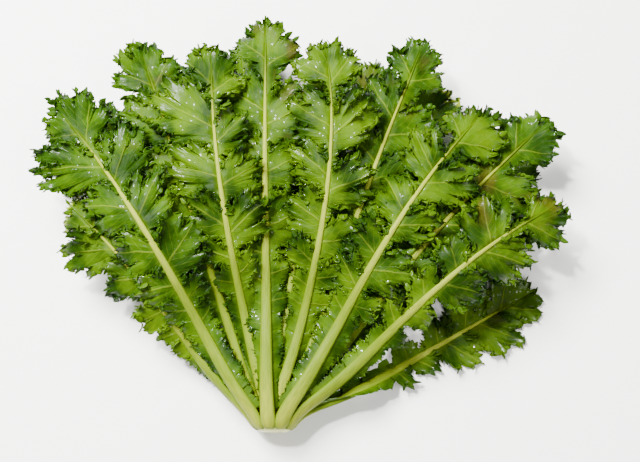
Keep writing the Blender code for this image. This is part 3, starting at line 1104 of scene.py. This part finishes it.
def add_node(tree: bpy.types.NodeTree, kind: Kind, *given: Given, **settings: str) -> Socket:
    """Add a node to a tree.

    Args:
        tree: the node tree.
        kind: what kind of node it is.
        given: for each of the kind's inputs in order, a socket to link or a value to set.
        settings: the node's own properties, besides those of its kind.

    Returns:
        The node's output.
    """
    type_name, kind_settings, inputs, output = kind.value
    node = tree.nodes.new(type_name)
    for name, value in (kind_settings | settings).items():
        setattr(node, name, value)
    set_inputs(node, dict(zip(inputs, given)))
    return node.outputs[output]


def set_inputs(node: bpy.types.Node, given: dict[str | int, Given]) -> None:
    """Link or set a node's inputs.

    Args:
        node: the node.
        given: for each input's name or number, a socket to link or a value to set.
    """
    for name, value in given.items():
        if isinstance(value, Socket):
            node.id_data.links.new(value, node.inputs[name])
        else:
            node.inputs[name].default_value = value


def linear(code: str) -> tuple[float, float, float, float]:
    """Turn an sRGB hex colour to linear light.

    Args:
        code: the colour, as # and six digits.

    Returns:
        Its linear red, green, blue and alpha.
    """
    channels = [int(code[i : i + 2], 16) / 255.0 for i in (1, 3, 5)]
    turned = [c / 12.92 if c <= 0.04045 else ((c + 0.055) / 1.055) ** 2.4 for c in channels]
    return turned[0], turned[1], turned[2], 1.0


def per_size(size: float) -> float:
    """Give the scale of a pattern whose features are this large, in metres."""
    return 1.0 / size


def new_material(name: str) -> tuple[bpy.types.Material, bpy.types.Node, Adder]:
    """Start a material.

    Args:
        name: its name.

    Returns:
        The material, its shader, and add_node for its tree.
    """
    material = bpy.data.materials.new(name)
    material.use_nodes = True
    tree = material.node_tree
    return material, tree.nodes["Principled BSDF"], partial(add_node, tree)


def new_tree(name: str, sizes: dict[str, str]) -> tuple[bpy.types.NodeTree, bpy.types.NodeOutputs]:
    """Start a Geometry Nodes tree.

    Args:
        name: its name.
        sizes: the socket type of each of its named inputs.

    Returns:
        The tree and the sockets that carry its inputs.
    """
    tree = bpy.data.node_groups.new(name, "GeometryNodeTree")
    for way in ("OUTPUT", "INPUT"):
        tree.interface.new_socket("Geometry", in_out=way, socket_type="NodeSocketGeometry")
    for label, kind in sizes.items():
        tree.interface.new_socket(label, in_out="INPUT", socket_type=kind)
    return tree, tree.nodes.new("NodeGroupInput").outputs


def end_tree(tree: bpy.types.NodeTree, placed: Socket, finish: Given) -> None:
    """End a Geometry Nodes tree: instances become real and get their material.

    Args:
        tree: the tree.
        placed: the instances.
        finish: the material, or the socket that carries it.
    """
    real = add_node(tree, Kind.REALIZE, placed)
    dressed = add_node(tree, Kind.DRESS, real, finish)
    set_inputs(tree.nodes.new("NodeGroupOutput"), {"Geometry": dressed})


def grow(
    tree: bpy.types.NodeTree, inputs: dict[str, Given], name: str, start: bpy.types.Mesh
) -> bpy.types.Object:
    """Run a Geometry Nodes tree and keep its result as a plain mesh.

    Args:
        tree: the node tree.
        inputs: values for its named inputs.
        name: the object's name.
        start: the mesh that goes in.

    Returns:
        The object, with no modifier left.
    """
    seed = add_object(f"{name}_seed", start)
    modifier = seed.modifiers.new("grow", "NODES")
    modifier.node_group = tree
    for item in tree.interface.items_tree:
        if item.item_type == "SOCKET" and item.in_out == "INPUT" and item.name in inputs:
            modifier[item.identifier] = inputs[item.name]
    seed.update_tag()
    graph = bpy.context.evaluated_depsgraph_get()
    mesh = bpy.data.meshes.new_from_object(seed.evaluated_get(graph))
    seed.modifiers.clear()
    bpy.data.objects.remove(seed)
    return add_object(name, mesh)


@dataclass(frozen=True)
class LeafFinish:
    """Fresh endive leaf, grown: a thin waxy skin over watery tissue, wet from washing.

    The skin gives tight bright glints, the tissue glows a little where light comes
    through, and the veins and the rib hold no green, so they are pale.
    """

    name: str
    dark: str
    mid: str
    bright: str
    vein: str
    rib_top: str
    rib_low: str
    rib_foot: str
    tanned: str = "#40340E"
    yellowed: str = "#B9C833"
    roughness: float = 0.47
    vein_step: float = 5.5  # mm between side veins of a lobe
    patch: float = 24.0 * MM
    grain: float = 2.4 * MM
    vein_bend: float = 9.0 * MM
    tan_patch: float = 38.0 * MM
    pucker: float = 3.0 * MM
    relief: float = 0.9 * MM
    bead: float = 3.0 * MM  # distance between beads of water, each a third as wide
    bead_height: float = 0.22 * MM

    def veins(self, node: Adder, read: dict[str, Socket]) -> Socket:
        """Draw a main vein along the middle of each lobe, and side veins that leave it forwards.

        Args:
            node: add_node for the material's tree.
            read: the leaf's attributes and its patches.

        Returns:
            How much of a vein there is, from 0 to 1.
        """
        off, margin = read["vein_distance"], read["to_margin"]
        bend = node(Kind.NOISE, read["place"], per_size(self.vein_bend), 1.0)
        bent = node(Kind.SUBTRACT, bend, 0.5)
        width = node(Kind.MULTIPLY_ADD, node(Kind.SUBTRACT, 1.0, margin), 0.45, 0.22)
        from_main = node(Kind.ABSOLUTE, node(Kind.MULTIPLY_ADD, bent, 1.6, off))
        off_main = node(Kind.STEP, node(Kind.DIVIDE, from_main, width), 0.5, 1.5)
        main = node(Kind.SUBTRACT, 1.0, off_main)
        slant = node(Kind.MULTIPLY, node(Kind.ABSOLUTE, off), 1.05)
        slant = node(Kind.SUBTRACT, read["vein_run"], slant)
        slant = node(Kind.ADD, slant, node(Kind.MULTIPLY, bent, 5.0))
        comb = node(Kind.FRACTION, node(Kind.DIVIDE, slant, self.vein_step))
        comb = node(Kind.ABSOLUTE, node(Kind.SUBTRACT, comb, 0.5))
        side = node(Kind.SUBTRACT, 1.0, node(Kind.STEP, comb, 0.015, 0.07))
        inside = node(Kind.SUBTRACT, 1.0, node(Kind.STEP, margin, 0.5, 0.95))
        side = node(Kind.MULTIPLY, side, inside)
        both = node(Kind.LARGER, node(Kind.MULTIPLY, main, 0.5), node(Kind.MULTIPLY, side, 0.32))
        large = node(Kind.STEP, read["size"], 8.0, 16.0)
        clear = node(Kind.STEP, read["patches"], 0.15, 0.6)
        return node(Kind.MULTIPLY, both, node(Kind.MULTIPLY, large, clear))

    def blade(self, node: Adder, read: dict[str, Socket], veins: Socket) -> Socket:
        """Colour the blade: dark in patches, yellower by the rib, with tanned and yellow tips.

        Args:
            node: add_node for the material's tree.
            read: the leaf's attributes and its patches.
            veins: how much of a vein there is.

        Returns:
            The colour.
        """
        patches, along, tone = read["patches"], read["along"], read["tone"]
        bright = linear(self.bright)
        mottled = node(Kind.STEP, patches, 0.35, 0.65)
        green = node(Kind.BLEND, mottled, linear(self.dark), linear(self.mid))
        light = node(Kind.STEP, node(Kind.MULTIPLY_ADD, tone, 0.25, patches), 0.5, 0.95)
        green = node(Kind.BLEND, node(Kind.MULTIPLY, light, 0.6), green, bright)
        near_rib = node(Kind.SUBTRACT, 1.0, node(Kind.STEP, read["rib_distance"], 0.3, 5.0))
        green = node(Kind.BLEND, node(Kind.MULTIPLY, near_rib, 0.35), green, bright)
        green = node(Kind.BLEND, node(Kind.MULTIPLY, veins, 0.7), green, linear(self.vein))
        tans = node(Kind.NOISE, read["place"], per_size(self.tan_patch), 2.0)
        tips = node(Kind.STEP, along, 0.55, 0.8)
        tanned = node(Kind.MULTIPLY, node(Kind.STEP, tans, 0.56, 0.70), tips)
        green = node(Kind.BLEND, node(Kind.MULTIPLY, tanned, 0.5), green, linear(self.tanned))
        ends = node(Kind.STEP, node(Kind.MULTIPLY, along, read["to_margin"]), 0.78, 0.98)
        yellowed = node(Kind.MULTIPLY, node(Kind.STEP, tone, 0.72, 0.8), ends)
        return node(Kind.BLEND, node(Kind.MULTIPLY, yellowed, 0.6), green, linear(self.yellowed))

    def rib(self, node: Adder, read: dict[str, Socket], streaks: Socket) -> Socket:
        """Colour the rib: pale, streaked lengthways, darker and greener on its flanks, partly its
        own greener sides and partly painted shade that makes it look round.

        Args:
            node: add_node for the material's tree.
            read: the leaf's attributes and its patches.
            streaks: noise drawn out along the rib.

        Returns:
            The colour.
        """
        along = read["along"]
        low = node(Kind.STEP, along, 0.0, 0.16)
        low = node(Kind.BLEND, low, linear(self.rib_foot), linear(self.rib_low))
        pale = node(Kind.BLEND, node(Kind.STEP, along, 0.30, 0.62), low, linear(self.rib_top))
        shade = node(Kind.MULTIPLY, node(Kind.STEP, streaks, 0.35, 0.7), 0.30)
        pale = node(Kind.BLEND, shade, pale, linear(self.mid))
        # Partly painted shade: the flanks are blended to a darker green, in part the rib's own
        # greener sides, in part shade painted in so that the rib looks round.
        greener_and_shaded_flank = node(Kind.POWER, node(Kind.ABSOLUTE, node(Kind.COSINE, read["round"])), 3.0)
        return node(Kind.BLEND, node(Kind.MULTIPLY, greener_and_shaded_flank, 0.8), pale, linear(self.bright))

    def water(self, node: Adder, read: dict[str, Socket], skin: Socket) -> dict[str, Given]:
        """Stand small round beads of water on the skin, in wet patches, and wet the rim.

        Args:
            node: add_node for the material's tree.
            read: the leaf's attributes and its patches.
            skin: the skin's normal.

        Returns:
            The shader's coat inputs.
        """
        far = node(Kind.CELLS, read["place"], per_size(self.bead))
        dome = node(Kind.SUBTRACT, 1.0, node(Kind.STEP, far, 0.0, 0.36))
        # A few cells hold a bead: those whose own random colour falls in a narrow range.
        chosen = node(Kind.STEP, far.node.outputs["Color"], 0.54, 0.56)
        inside = node(Kind.SUBTRACT, 1.0, node(Kind.STEP, far, 0.24, 0.36))
        bead = node(Kind.MULTIPLY, chosen, inside)
        off_rib = node(Kind.MULTIPLY_ADD, read["ribness"], -0.85, 1.0)
        wet = node(Kind.MULTIPLY, node(Kind.STEP, read["patches"], 0.42, 0.58), off_rib)
        rim = node(Kind.MULTIPLY, node(Kind.STEP, read["to_margin"], 0.6, 0.95), 0.26)
        return {
            "Coat Weight": node(Kind.LARGER, node(Kind.MULTIPLY, wet, bead), rim),
            "Coat Normal": node(Kind.BUMP, dome, 1.0, self.bead_height, skin),
            "Coat Roughness": 0.05,
        }

    def build(self) -> bpy.types.Material:
        """Build the material from the leaf's point attributes.

        Returns:
            The material.
        """
        material, shader, node = new_material(self.name)
        names = (
            "rib_distance", "vein_distance", "vein_run", "to_margin", "along", "size", "ribness",
            "round", "tone",
        )
        read = {name: node(Kind.ATTRIBUTE, attribute_name=name) for name in names}
        place, ribness = node(Kind.PLACE), read["ribness"]
        read |= {"place": place, "patches": node(Kind.NOISE, place, per_size(self.patch), 3.0)}
        grain = node(Kind.NOISE, place, per_size(self.grain), 4.0)
        drawn_out = node(Kind.MULTIPLY, read["along"], 9.0)
        streak_place = node(Kind.JOIN, drawn_out, read["round"], read["tone"])
        streaks = node(Kind.NOISE, streak_place, 3.2, 3.0)
        veins = self.veins(node, read)
        faded = node(Kind.SUBTRACT, 1.0, node(Kind.STEP, read["along"], 0.78, 0.97))
        green, pale = self.blade(node, read, veins), self.rib(node, read, streaks)
        rough = node(Kind.MULTIPLY_ADD, grain, 0.22, self.roughness - 0.11)
        pucker = node(Kind.SOFT_CELLS, place, per_size(self.pucker))
        relief = node(Kind.MULTIPLY_ADD, veins, 0.9, node(Kind.MULTIPLY, pucker, 0.4))
        relief = node(Kind.ADD, relief, node(Kind.MULTIPLY, grain, 0.25))
        relief = node(Kind.BLEND, ribness, relief, streaks)
        skin = node(Kind.BUMP, relief, 0.6, self.relief)
        surface = {
            "Base Color": node(Kind.BLEND, node(Kind.MULTIPLY, ribness, faded), green, pale),
            "Roughness": node(Kind.MULTIPLY_ADD, ribness, -0.06, rough),
            "Normal": skin,
            "Specular IOR Level": 0.05,
            "Subsurface Weight": 0.08,
            "Subsurface Radius": (0.45, 1.0, 0.12),
            "Subsurface Scale": 2.0 * MM,
        }
        set_inputs(shader, surface | self.water(node, read, skin))
        return material


@dataclass(frozen=True)
class StumpFinish:
    """Cut root end of an endive: dense pale flesh, browned where the knife left it open."""

    name: str = "cut_root_flesh_cream"
    flesh: str = "#D3D28C"
    skin: str = "#B4BE5C"
    browned: str = "#A3803F"
    grain: float = 6.0 * MM
    relief: float = 0.5 * MM

    def build(self) -> bpy.types.Material:
        """Build the material.

        Returns:
            The material.
        """
        material, shader, node = new_material(self.name)
        noise = node(Kind.NOISE, node(Kind.PLACE), per_size(self.grain), 4.0)
        cut = node(Kind.ATTRIBUTE, attribute_name="cut")
        pale = node(Kind.BLEND, cut, linear(self.skin), linear(self.flesh))
        dry = node(Kind.MULTIPLY, node(Kind.RANGE, noise, 0.45, 0.75, 0.0, 0.6), cut)
        surface = {
            "Base Color": node(Kind.BLEND, dry, pale, linear(self.browned)),
            "Roughness": 0.45,
            "Normal": node(Kind.BUMP, noise, 0.4, self.relief),
        }
        set_inputs(shader, surface)
        return material


@dataclass
class Stump:
    """The cut root end that the leaves grow on: a rounded cone with a small cut face."""

    layout: HeadLayout
    finish: bpy.types.Material
    sides: int = 64
    flutes: float = 10.0
    flute: float = 0.02
    bundle_count: int = 22
    bundle_ring: float = 6.2 * MM
    bundle: float = 0.55 * MM
    bundle_stray: float = 0.5 * MM
    bundle_place: float = -4.25 * MM
    bundle_cut: float = 0.3
    # Profile from the cut to the growing tip: place along the axis and radius, in mm.
    profile: tuple[tuple[float, float], ...] = (
        (-4.1, 3.0), (-4.2, 6.5), (-4.4, 8.3), (-4.2, 9.3), (-3.2, 11.0), (-1.6, 12.6),
        (0.6, 13.6), (3.0, 13.6), (7.0, 12.4), (13.0, 10.8), (20.0, 9.2), (27.0, 7.4),
        (32.0, 5.2), (35.0, 2.6),
    )

    def turned(self) -> MeshParts:
        """Turn the profile round the stump's axis.

        Returns:
            The turned mesh, with an attribute that is 1 on the cut.
        """
        parts = MeshParts()
        rows, turn = np.array(self.profile) * MM, np.arange(self.sides) / self.sides * math.tau
        past_cut = ease((rows[:, :1] + 3.5 * MM) / (3.0 * MM))
        radius = rows[:, 1:] * (1.0 + self.flute * np.cos(self.flutes * turn + 0.7) * past_cut)
        x = radius * np.cos(turn)
        z = radius * np.sin(turn) + self.layout.axis_height
        y = rows[:, :1] + 0.0 * turn
        cut = np.broadcast_to(1.0 - ease((rows[:, :1] + 4.3 * MM) / (0.8 * MM)), x.shape)
        parts.add(np.stack([x, y, z], axis=-1), tube_faces(*x.shape, True), {"cut": cut})
        return parts

    def bundles(self) -> bpy.types.Object:
        """Set the small round ends of the sap bundles in a ring on the cut, by Geometry Nodes.

        Returns:
            The bundles as one plain mesh object.
        """
        named = {
            "Count": ("NodeSocketInt", self.bundle_count),
            "Ring radius": ("NodeSocketFloat", self.bundle_ring),
            "Bundle radius": ("NodeSocketFloat", self.bundle),
            "Seed": ("NodeSocketInt", 7),
        }
        tree, given = new_tree("sap_bundles", {label: kind for label, (kind, _) in named.items()})
        node = partial(add_node, tree)
        ring = node(Kind.CIRCLE, given["Count"], given["Ring radius"])
        dot = node(Kind.BALL, 8, 5, given["Bundle radius"])
        stray = self.bundle_stray
        nudge = node(Kind.DRAW_VECTOR, (-stray, -stray, 0.0), (stray, stray, 0.0), given["Seed"])
        scale = node(Kind.DRAW_VECTOR, (0.7, 0.7, 0.35), (1.3, 1.3, 0.45), given["Seed"])
        end_tree(tree, node(Kind.PLANT, node(Kind.NUDGE, ring, nudge), dot, scale), self.finish)
        sizes = {label: value for label, (_, value) in named.items()}
        return grow(tree, sizes, "sap_bundles", bpy.data.meshes.new("cut_centre"))

    def build(self) -> bpy.types.Object:
        """Build the stump and fix it to the frame.

        Returns:
            The stump's object.
        """
        parts = self.turned()
        dots = self.bundles()
        # The ring is made flat: it is stood up on the cut.
        stood = np.array([[1.0, 0.0, 0.0], [0.0, 0.0, -1.0], [0.0, 1.0, 0.0]])
        place = np.array([0.0, self.bundle_place, self.layout.axis_height])
        parts.add_mesh(dots.data, place, stood, {"cut": self.bundle_cut})
        bpy.data.objects.remove(dots)
        parts.move(self.layout.shift())
        made = parts.build("stump_cut", self.finish)
        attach(made, "root")
        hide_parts("stump")
        return made


@dataclass
class Fringe:
    """Small curled leaflets that stand along the edges of a stalk, set by Geometry Nodes."""

    spacing: float = 3.0 * MM
    size: float = 1.2 * MM
    curl: float = 0.6
    first: float = 0.05
    last: float = 0.40
    segments: int = 8
    rings: int = 4

    @property
    def points_each(self) -> int:
        """Give the number of points of one leaflet."""
        return self.segments * (self.rings - 1) + 2

    def tree(self) -> bpy.types.NodeTree:
        """Build the tree that sets leaflets along a chain of edges.

        Returns:
            The tree.
        """
        sizes = dict.fromkeys(("Spacing", "Size", "Curl"), "NodeSocketFloat")
        sizes |= {"Seed": "NodeSocketInt", "Finish": "NodeSocketMaterial"}
        tree, given = new_tree("stalk_fringe", sizes)
        node = partial(add_node, tree)
        # A leaflet is a flattened ball, bent up at its end and rippled across.
        ball = node(Kind.BALL, self.segments, self.rings, 1.0)
        x, y, z = node(Kind.SPLIT, node(Kind.POSITION)).node.outputs
        to_end = node(Kind.MULTIPLY_ADD, y, 0.5, 0.5)
        bent = node(Kind.MULTIPLY, node(Kind.MULTIPLY, to_end, to_end), given["Curl"])
        ripple = node(Kind.SINE, node(Kind.MULTIPLY, x, 5.5))
        ripple = node(Kind.MULTIPLY, ripple, node(Kind.MULTIPLY, to_end, 0.28))
        height = node(Kind.ADD, node(Kind.MULTIPLY_ADD, z, 0.16, bent), ripple)
        narrow = node(Kind.MULTIPLY, x, node(Kind.MULTIPLY_ADD, to_end, -0.85, 1.2))
        shape = node(Kind.JOIN, narrow, node(Kind.MULTIPLY, y, 1.3), height)
        leaflet = node(Kind.RESHAPE, ball, shape)
        chain = node(Kind.CHAIN, given["Geometry"])
        points = node(Kind.RESAMPLE, chain, given["Spacing"])
        facing = node(Kind.ALIGN, node(Kind.NAMED, "outward"))
        tilt = node(Kind.DRAW_VECTOR, (-0.5, 0.0, -0.7), (0.7, math.tau, 0.7), given["Seed"])
        scale = node(Kind.MULTIPLY, node(Kind.DRAW, 0.6, 1.5, given["Seed"]), given["Size"])
        placed = node(Kind.PLANT, points, leaflet, scale, node(Kind.TURN, facing, tilt))
        end_tree(tree, placed, given["Finish"])
        return tree

    def add_to(
        self, parts: MeshParts, edges: list[Array], finish: bpy.types.Material, tone: float,
        seed: int,
    ) -> None:
        """Grow the fringe along a leaf's margins.

        Args:
            parts: the leaf's mesh.
            edges: the margins of its two blades.
            finish: the leaf's material.
            tone: the leaf's own shade, from 0 to 1.
            seed: the seed of the draw.
        """
        points, chain = [], []
        for edge in edges:
            kept = edge[(edge[:, 6] > self.first) & (edge[:, 6] < self.last)]
            chain += [(len(points) + i, len(points) + i + 1) for i in range(len(kept) - 1)]
            points += kept.tolist()
        mesh = bpy.data.meshes.new("stalk_edges")
        mesh.from_pydata([p[:3] for p in points], chain, [])
        outward = mesh.attributes.new("outward", "FLOAT_VECTOR", "POINT")
        outward.data.foreach_set("vector", np.array([p[3:6] for p in points]).ravel())
        inputs = {
            "Spacing": self.spacing, "Size": self.size, "Curl": self.curl, "Seed": seed,
            "Finish": finish,
        }
        # The tree is made once, for the first fringe.
        tree = bpy.data.node_groups.get("stalk_fringe") or self.tree()
        grown = grow(tree, inputs, "fringe", mesh)
        # Each leaflet has the same number of points in turn: those that would dip into the
        # table are lifted onto it.
        leaflets = np.empty(3 * len(grown.data.vertices))
        grown.data.vertices.foreach_get("co", leaflets)
        leaflets = leaflets.reshape(-1, self.points_each, 3)
        leaflets[..., 2] += np.maximum(0.0, -leaflets[..., 2].min(axis=1))[:, None]
        grown.data.vertices.foreach_set("co", leaflets.ravel())
        values = {
            "rib_distance": 9.0, "vein_distance": 9.0, "vein_run": 0.0, "to_margin": 0.7,
            "along": 0.3, "size": 5.0, "ribness": 0.0, "round": 0.0, "tone": tone,
        }
        parts.add_mesh(grown.data, np.zeros(3), np.eye(3), values)
        bpy.data.objects.remove(grown)


@dataclass
class Leaf:
    """One leaf of the head, as a finished piece."""

    plan: LeafPlan
    finish: bpy.types.Material
    slot: str
    seed: int
    fringes: tuple[Fringe, ...] = ()

    def build(self) -> bpy.types.Object:
        """Build the leaf and fix it to the frame.

        Returns:
            The leaf's object.
        """
        rng = np.random.default_rng(self.seed)
        parts = MeshParts()
        edges = [Blade(self.plan, side, rng).add_to(parts) for side in Side]
        Rib(self.plan).add_to(parts)
        for number, fringe in enumerate(self.fringes):
            fringe.add_to(parts, edges, self.finish, self.plan.tone, self.seed + 50 * number)
        parts.move(self.plan.layout.shift())
        made = parts.build(f"{self.plan.name}_curly", self.finish)
        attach(made, "root")
        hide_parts(self.plan.name)
        return made


@dataclass(frozen=True)
class Lamp:
    """A soft square lamp that faces the origin: its place, its power in watts and its size."""

    name: str
    place: tuple[float, float, float]
    power: float
    size: float


@dataclass
class Studio:
    """A plain pale table top under soft light from the upper left, seen from above."""

    layout: HeadLayout
    elevation: float = 78.0
    lens: float = 70.0
    distance: float = 0.90
    # The point looked at, from the stump.
    target: tuple[float, float, float] = (32.4 * MM, 139.0 * MM, 30.0 * MM)
    sky: str = "#FBFCFF"
    sky_strength: float = 0.42
    lamps: tuple[Lamp, ...] = (
        Lamp("key", (-0.60, 0.70, 1.35), 130.0, 0.65),
        Lamp("glint", (-0.45, 0.30, 1.50), 45.0, 0.12),
        Lamp("fill", (0.8, -0.5, 1.5), 22.0, 0.9),
    )
    floor_half: float = 9.0
    floor_height: float = -0.4 * MM

    def floor(self) -> None:
        """Lay the table top, of white laminate with a faint mottle."""
        material, shader, node = new_material("matt_white_laminate")
        noise = node(Kind.NOISE, node(Kind.PLACE), per_size(330.0 * MM))
        mottle = node(Kind.BLEND, noise, linear("#F7F5F0"), linear("#FCFAF6"))
        set_inputs(shader, {"Base Color": mottle, "Roughness": 0.6})
        half, height = self.floor_half, self.floor_height
        corners = [(x * half, y * half, height) for x, y in ((-1, -1), (1, -1), (1, 1), (-1, 1))]
        mesh = bpy.data.meshes.new("floor")
        mesh.from_pydata(corners, [], [(0, 1, 2, 3)])
        mesh.materials.append(material)
        floor = add_object("floor", mesh)

    def lights(self) -> None:
        """Hang a large soft key light at the upper left and fill from all round."""
        world = bpy.data.worlds.new("studio")
        bpy.context.scene.world = world
        world.use_nodes = True
        sky = {"Color": linear(self.sky), "Strength": self.sky_strength}
        set_inputs(world.node_tree.nodes["Background"], sky)
        for lamp in self.lamps:
            data = bpy.data.lights.new(lamp.name, "AREA")
            data.energy, data.size = lamp.power, lamp.size
            hung = add_object(lamp.name, data)
            hung.location = lamp.place
            toward = -hung.location.copy()
            hung.rotation_euler = toward.to_track_quat("-Z", "Y").to_euler()

    def camera(self) -> None:
        """Set the camera above the head, looking down over the stump."""
        tilt = math.radians(self.elevation)
        target = self.layout.shift() + np.array(self.target)
        away = np.array([0.0, -math.cos(tilt), math.sin(tilt)])
        data = bpy.data.cameras.new("camera")
        data.lens = self.lens
        camera = add_object("camera", data)
        camera.location = target + away * self.distance
        camera.rotation_euler = (math.radians(90.0 - self.elevation), 0.0, 0.0)
        bpy.context.scene.camera = camera


OUTER = Ring(15.0 * MM, 6.5 * MM, 2.0 * MM, 175.0, 36.0, 11.0 * MM, 4.5 * MM)
MIDDLE = Ring(12.2 * MM, 4.0 * MM, 14.0 * MM, 157.0, 40.0, 8.8 * MM, 3.6 * MM)
INNER = Ring(9.4 * MM, 2.5 * MM, 27.0 * MM, 135.0, 45.0, 6.8 * MM, 2.8 * MM)

# Name, ring, place in it, fan angle, bend, layer, then in mm the length and the left and
# right reach of the widest lobe, and last the leaf's shade from dark to light.
LEAVES = (
    ("leaf_second_1", OUTER, 0, -35.0, -4.0, 5, 188.0, 32.0, 36.0, 0.80),
    ("leaf_top_1", OUTER, 1, -28.0, -4.0, 6, 254.0, 42.0, 42.0, 0.02),
    ("leaf_second_3", OUTER, 2, -0.5, 0.0, 5, 280.0, 35.0, 37.0, 0.40),
    ("leaf_top_4", OUTER, 3, 28.5, 4.0, 6, 250.0, 34.0, 40.0, 0.45),
    ("leaf_top_5", OUTER, 4, 45.0, 5.0, 6, 228.0, 32.0, 36.0, 0.60),
    ("leaf_bottom_5", OUTER, 5, 59.5, 0.5, 1, 184.0, 30.0, 31.0, 0.70),
    ("leaf_bottom_4", OUTER, 6, 39.0, 0.0, 1, 262.0, 40.0, 36.0, 0.30),
    ("leaf_bottom_3", OUTER, 7, 12.0, 2.0, 1, 270.0, 40.0, 40.0, 0.20),
    ("leaf_bottom_2", OUTER, 8, -10.0, -2.0, 1, 264.0, 40.0, 40.0, 0.30),
    ("leaf_bottom_1", OUTER, 9, -30.0, -4.0, 1, 234.0, 36.0, 38.0, 0.76),
    ("leaf_second_2", MIDDLE, 0, -17.5, -0.5, 5, 262.0, 42.0, 36.0, 0.20),
    ("leaf_top_2", MIDDLE, 1, -12.5, 3.5, 6, 244.0, 42.0, 36.0, 0.55),
    ("leaf_top_3", MIDDLE, 2, 16.0, -8.0, 6, 244.0, 36.0, 38.0, 0.70),
    ("leaf_second_4", MIDDLE, 3, 19.0, 1.0, 5, 270.0, 36.0, 38.0, 0.10),
    ("leaf_second_5", MIDDLE, 4, 38.5, 3.0, 5, 262.0, 38.0, 40.0, 0.05),
    ("leaf_under_4", MIDDLE, 5, 44.0, 6.0, 2, 216.0, 36.0, 38.0, 0.50),
    ("leaf_under_3", MIDDLE, 6, 25.0, 2.0, 2, 254.0, 40.0, 38.0, 0.78),
    ("leaf_under_2", MIDDLE, 7, -4.0, 0.0, 2, 258.0, 42.0, 42.0, 0.40),
    ("leaf_under_1", MIDDLE, 8, -26.0, -2.0, 2, 242.0, 38.0, 42.0, 0.20),
    ("leaf_heart_2", INNER, 0, -11.0, 0.0, 4, 212.0, 31.0, 30.0, 0.50),
    ("leaf_heart_3", INNER, 1, 9.0, 0.0, 4, 218.0, 30.0, 30.0, 0.60),
    ("leaf_heart_4", INNER, 2, 20.0, 7.0, 4, 214.0, 30.0, 32.0, 0.40),
    ("leaf_heart_8", INNER, 3, 42.0, 1.0, 3, 192.0, 30.0, 32.0, 0.50),
    ("leaf_heart_7", INNER, 4, 20.0, 0.0, 3, 206.0, 31.0, 31.0, 0.70),
    ("leaf_heart_6", INNER, 5, -1.0, 0.0, 3, 202.0, 30.0, 31.0, 0.30),
    ("leaf_heart_5", INNER, 6, -17.0, -3.0, 3, 204.0, 31.0, 30.0, 0.60),
    ("leaf_heart_1", INNER, 7, -28.5, -4.0, 4, 196.0, 31.0, 30.0, 0.40),
)

# What a leaf of each layer has: its detail and its fringes, along the stalk and the lobes.
UNDER_FRINGE = Fringe(7.0 * MM, 2.2 * MM, 0.8, 0.40, 1.0)
LAYERS = {
    Layer.TOP: (Detail.SHOWN, (Fringe(), Fringe(3.7 * MM, 2.0 * MM, 0.8, 0.40, 1.0))),
    Layer.SECOND: (Detail.SHADED, (Fringe(), Fringe(4.0 * MM, 2.0 * MM, 0.8, 0.40, 1.0))),
    Layer.HEART_HIGH: (Detail.HEART, ()),
    Layer.HEART_LOW: (Detail.HEART, ()),
    Layer.UNDER: (Detail.EDGE, (UNDER_FRINGE,)),
    Layer.BOTTOM: (Detail.EDGE, (UNDER_FRINGE,)),
}

FRESH_GREEN = LeafFinish(
    "fresh_leaf_washed_green",
    "#132900", "#294500", "#4A6200", "#6C7A1C", "#868E2A", "#5E6E12", "#7E8622",
)
# The heart leaves' greens are paler than the outer leaves', as blanched leaves are, and are also
# darkened as painted shade for the shade they lie in under the outer leaves.
HEART_GREEN_WITH_PAINTED_SHADE = LeafFinish(
    "blanched_heart_leaf_green_with_painted_shade",
    "#1C3600", "#304E00", "#4C6600", "#6E7C20", "#808A2E", "#6A7A20", "#868F34",
)


def main() -> None:
    """Build the head on its frame and set the studio round it."""
    logging.basicConfig(level=logging.INFO, format="%(message)s")
    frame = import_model()
    LOG.info("frame: %d nodes", len(frame["nodes"]))
    layout = HeadLayout()
    studio = Studio(layout)
    studio.camera()
    studio.lights()
    studio.floor()
    # The heart leaves' finish holds painted shade in its darkened greens.
    green, pale = FRESH_GREEN.build(), HEART_GREEN_WITH_PAINTED_SHADE.build()
    stump = Stump(layout, StumpFinish().build()).build()
    LOG.info("%s: %d faces", stump.name, len(stump.data.polygons))
    for number, (name, ring, place, fan, bend, layer, *lengths, tone) in enumerate(LEAVES):
        detail, fringes = LAYERS[Layer(layer)]
        length, left, right = (each * MM for each in lengths)
        plan = LeafPlan(
            name, ring, place, fan, bend, Layer(layer), length, left, right, tone, detail, layout
        )
        heart = detail is Detail.HEART
        slot = "inner_leaf" if heart else "outer_leaf"
        made = Leaf(plan, pale if heart else green, slot, 100 + number, fringes).build()
        LOG.info("%s: %d faces", made.name, len(made.data.polygons))
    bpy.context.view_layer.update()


if __name__ == "__main__":
    main()
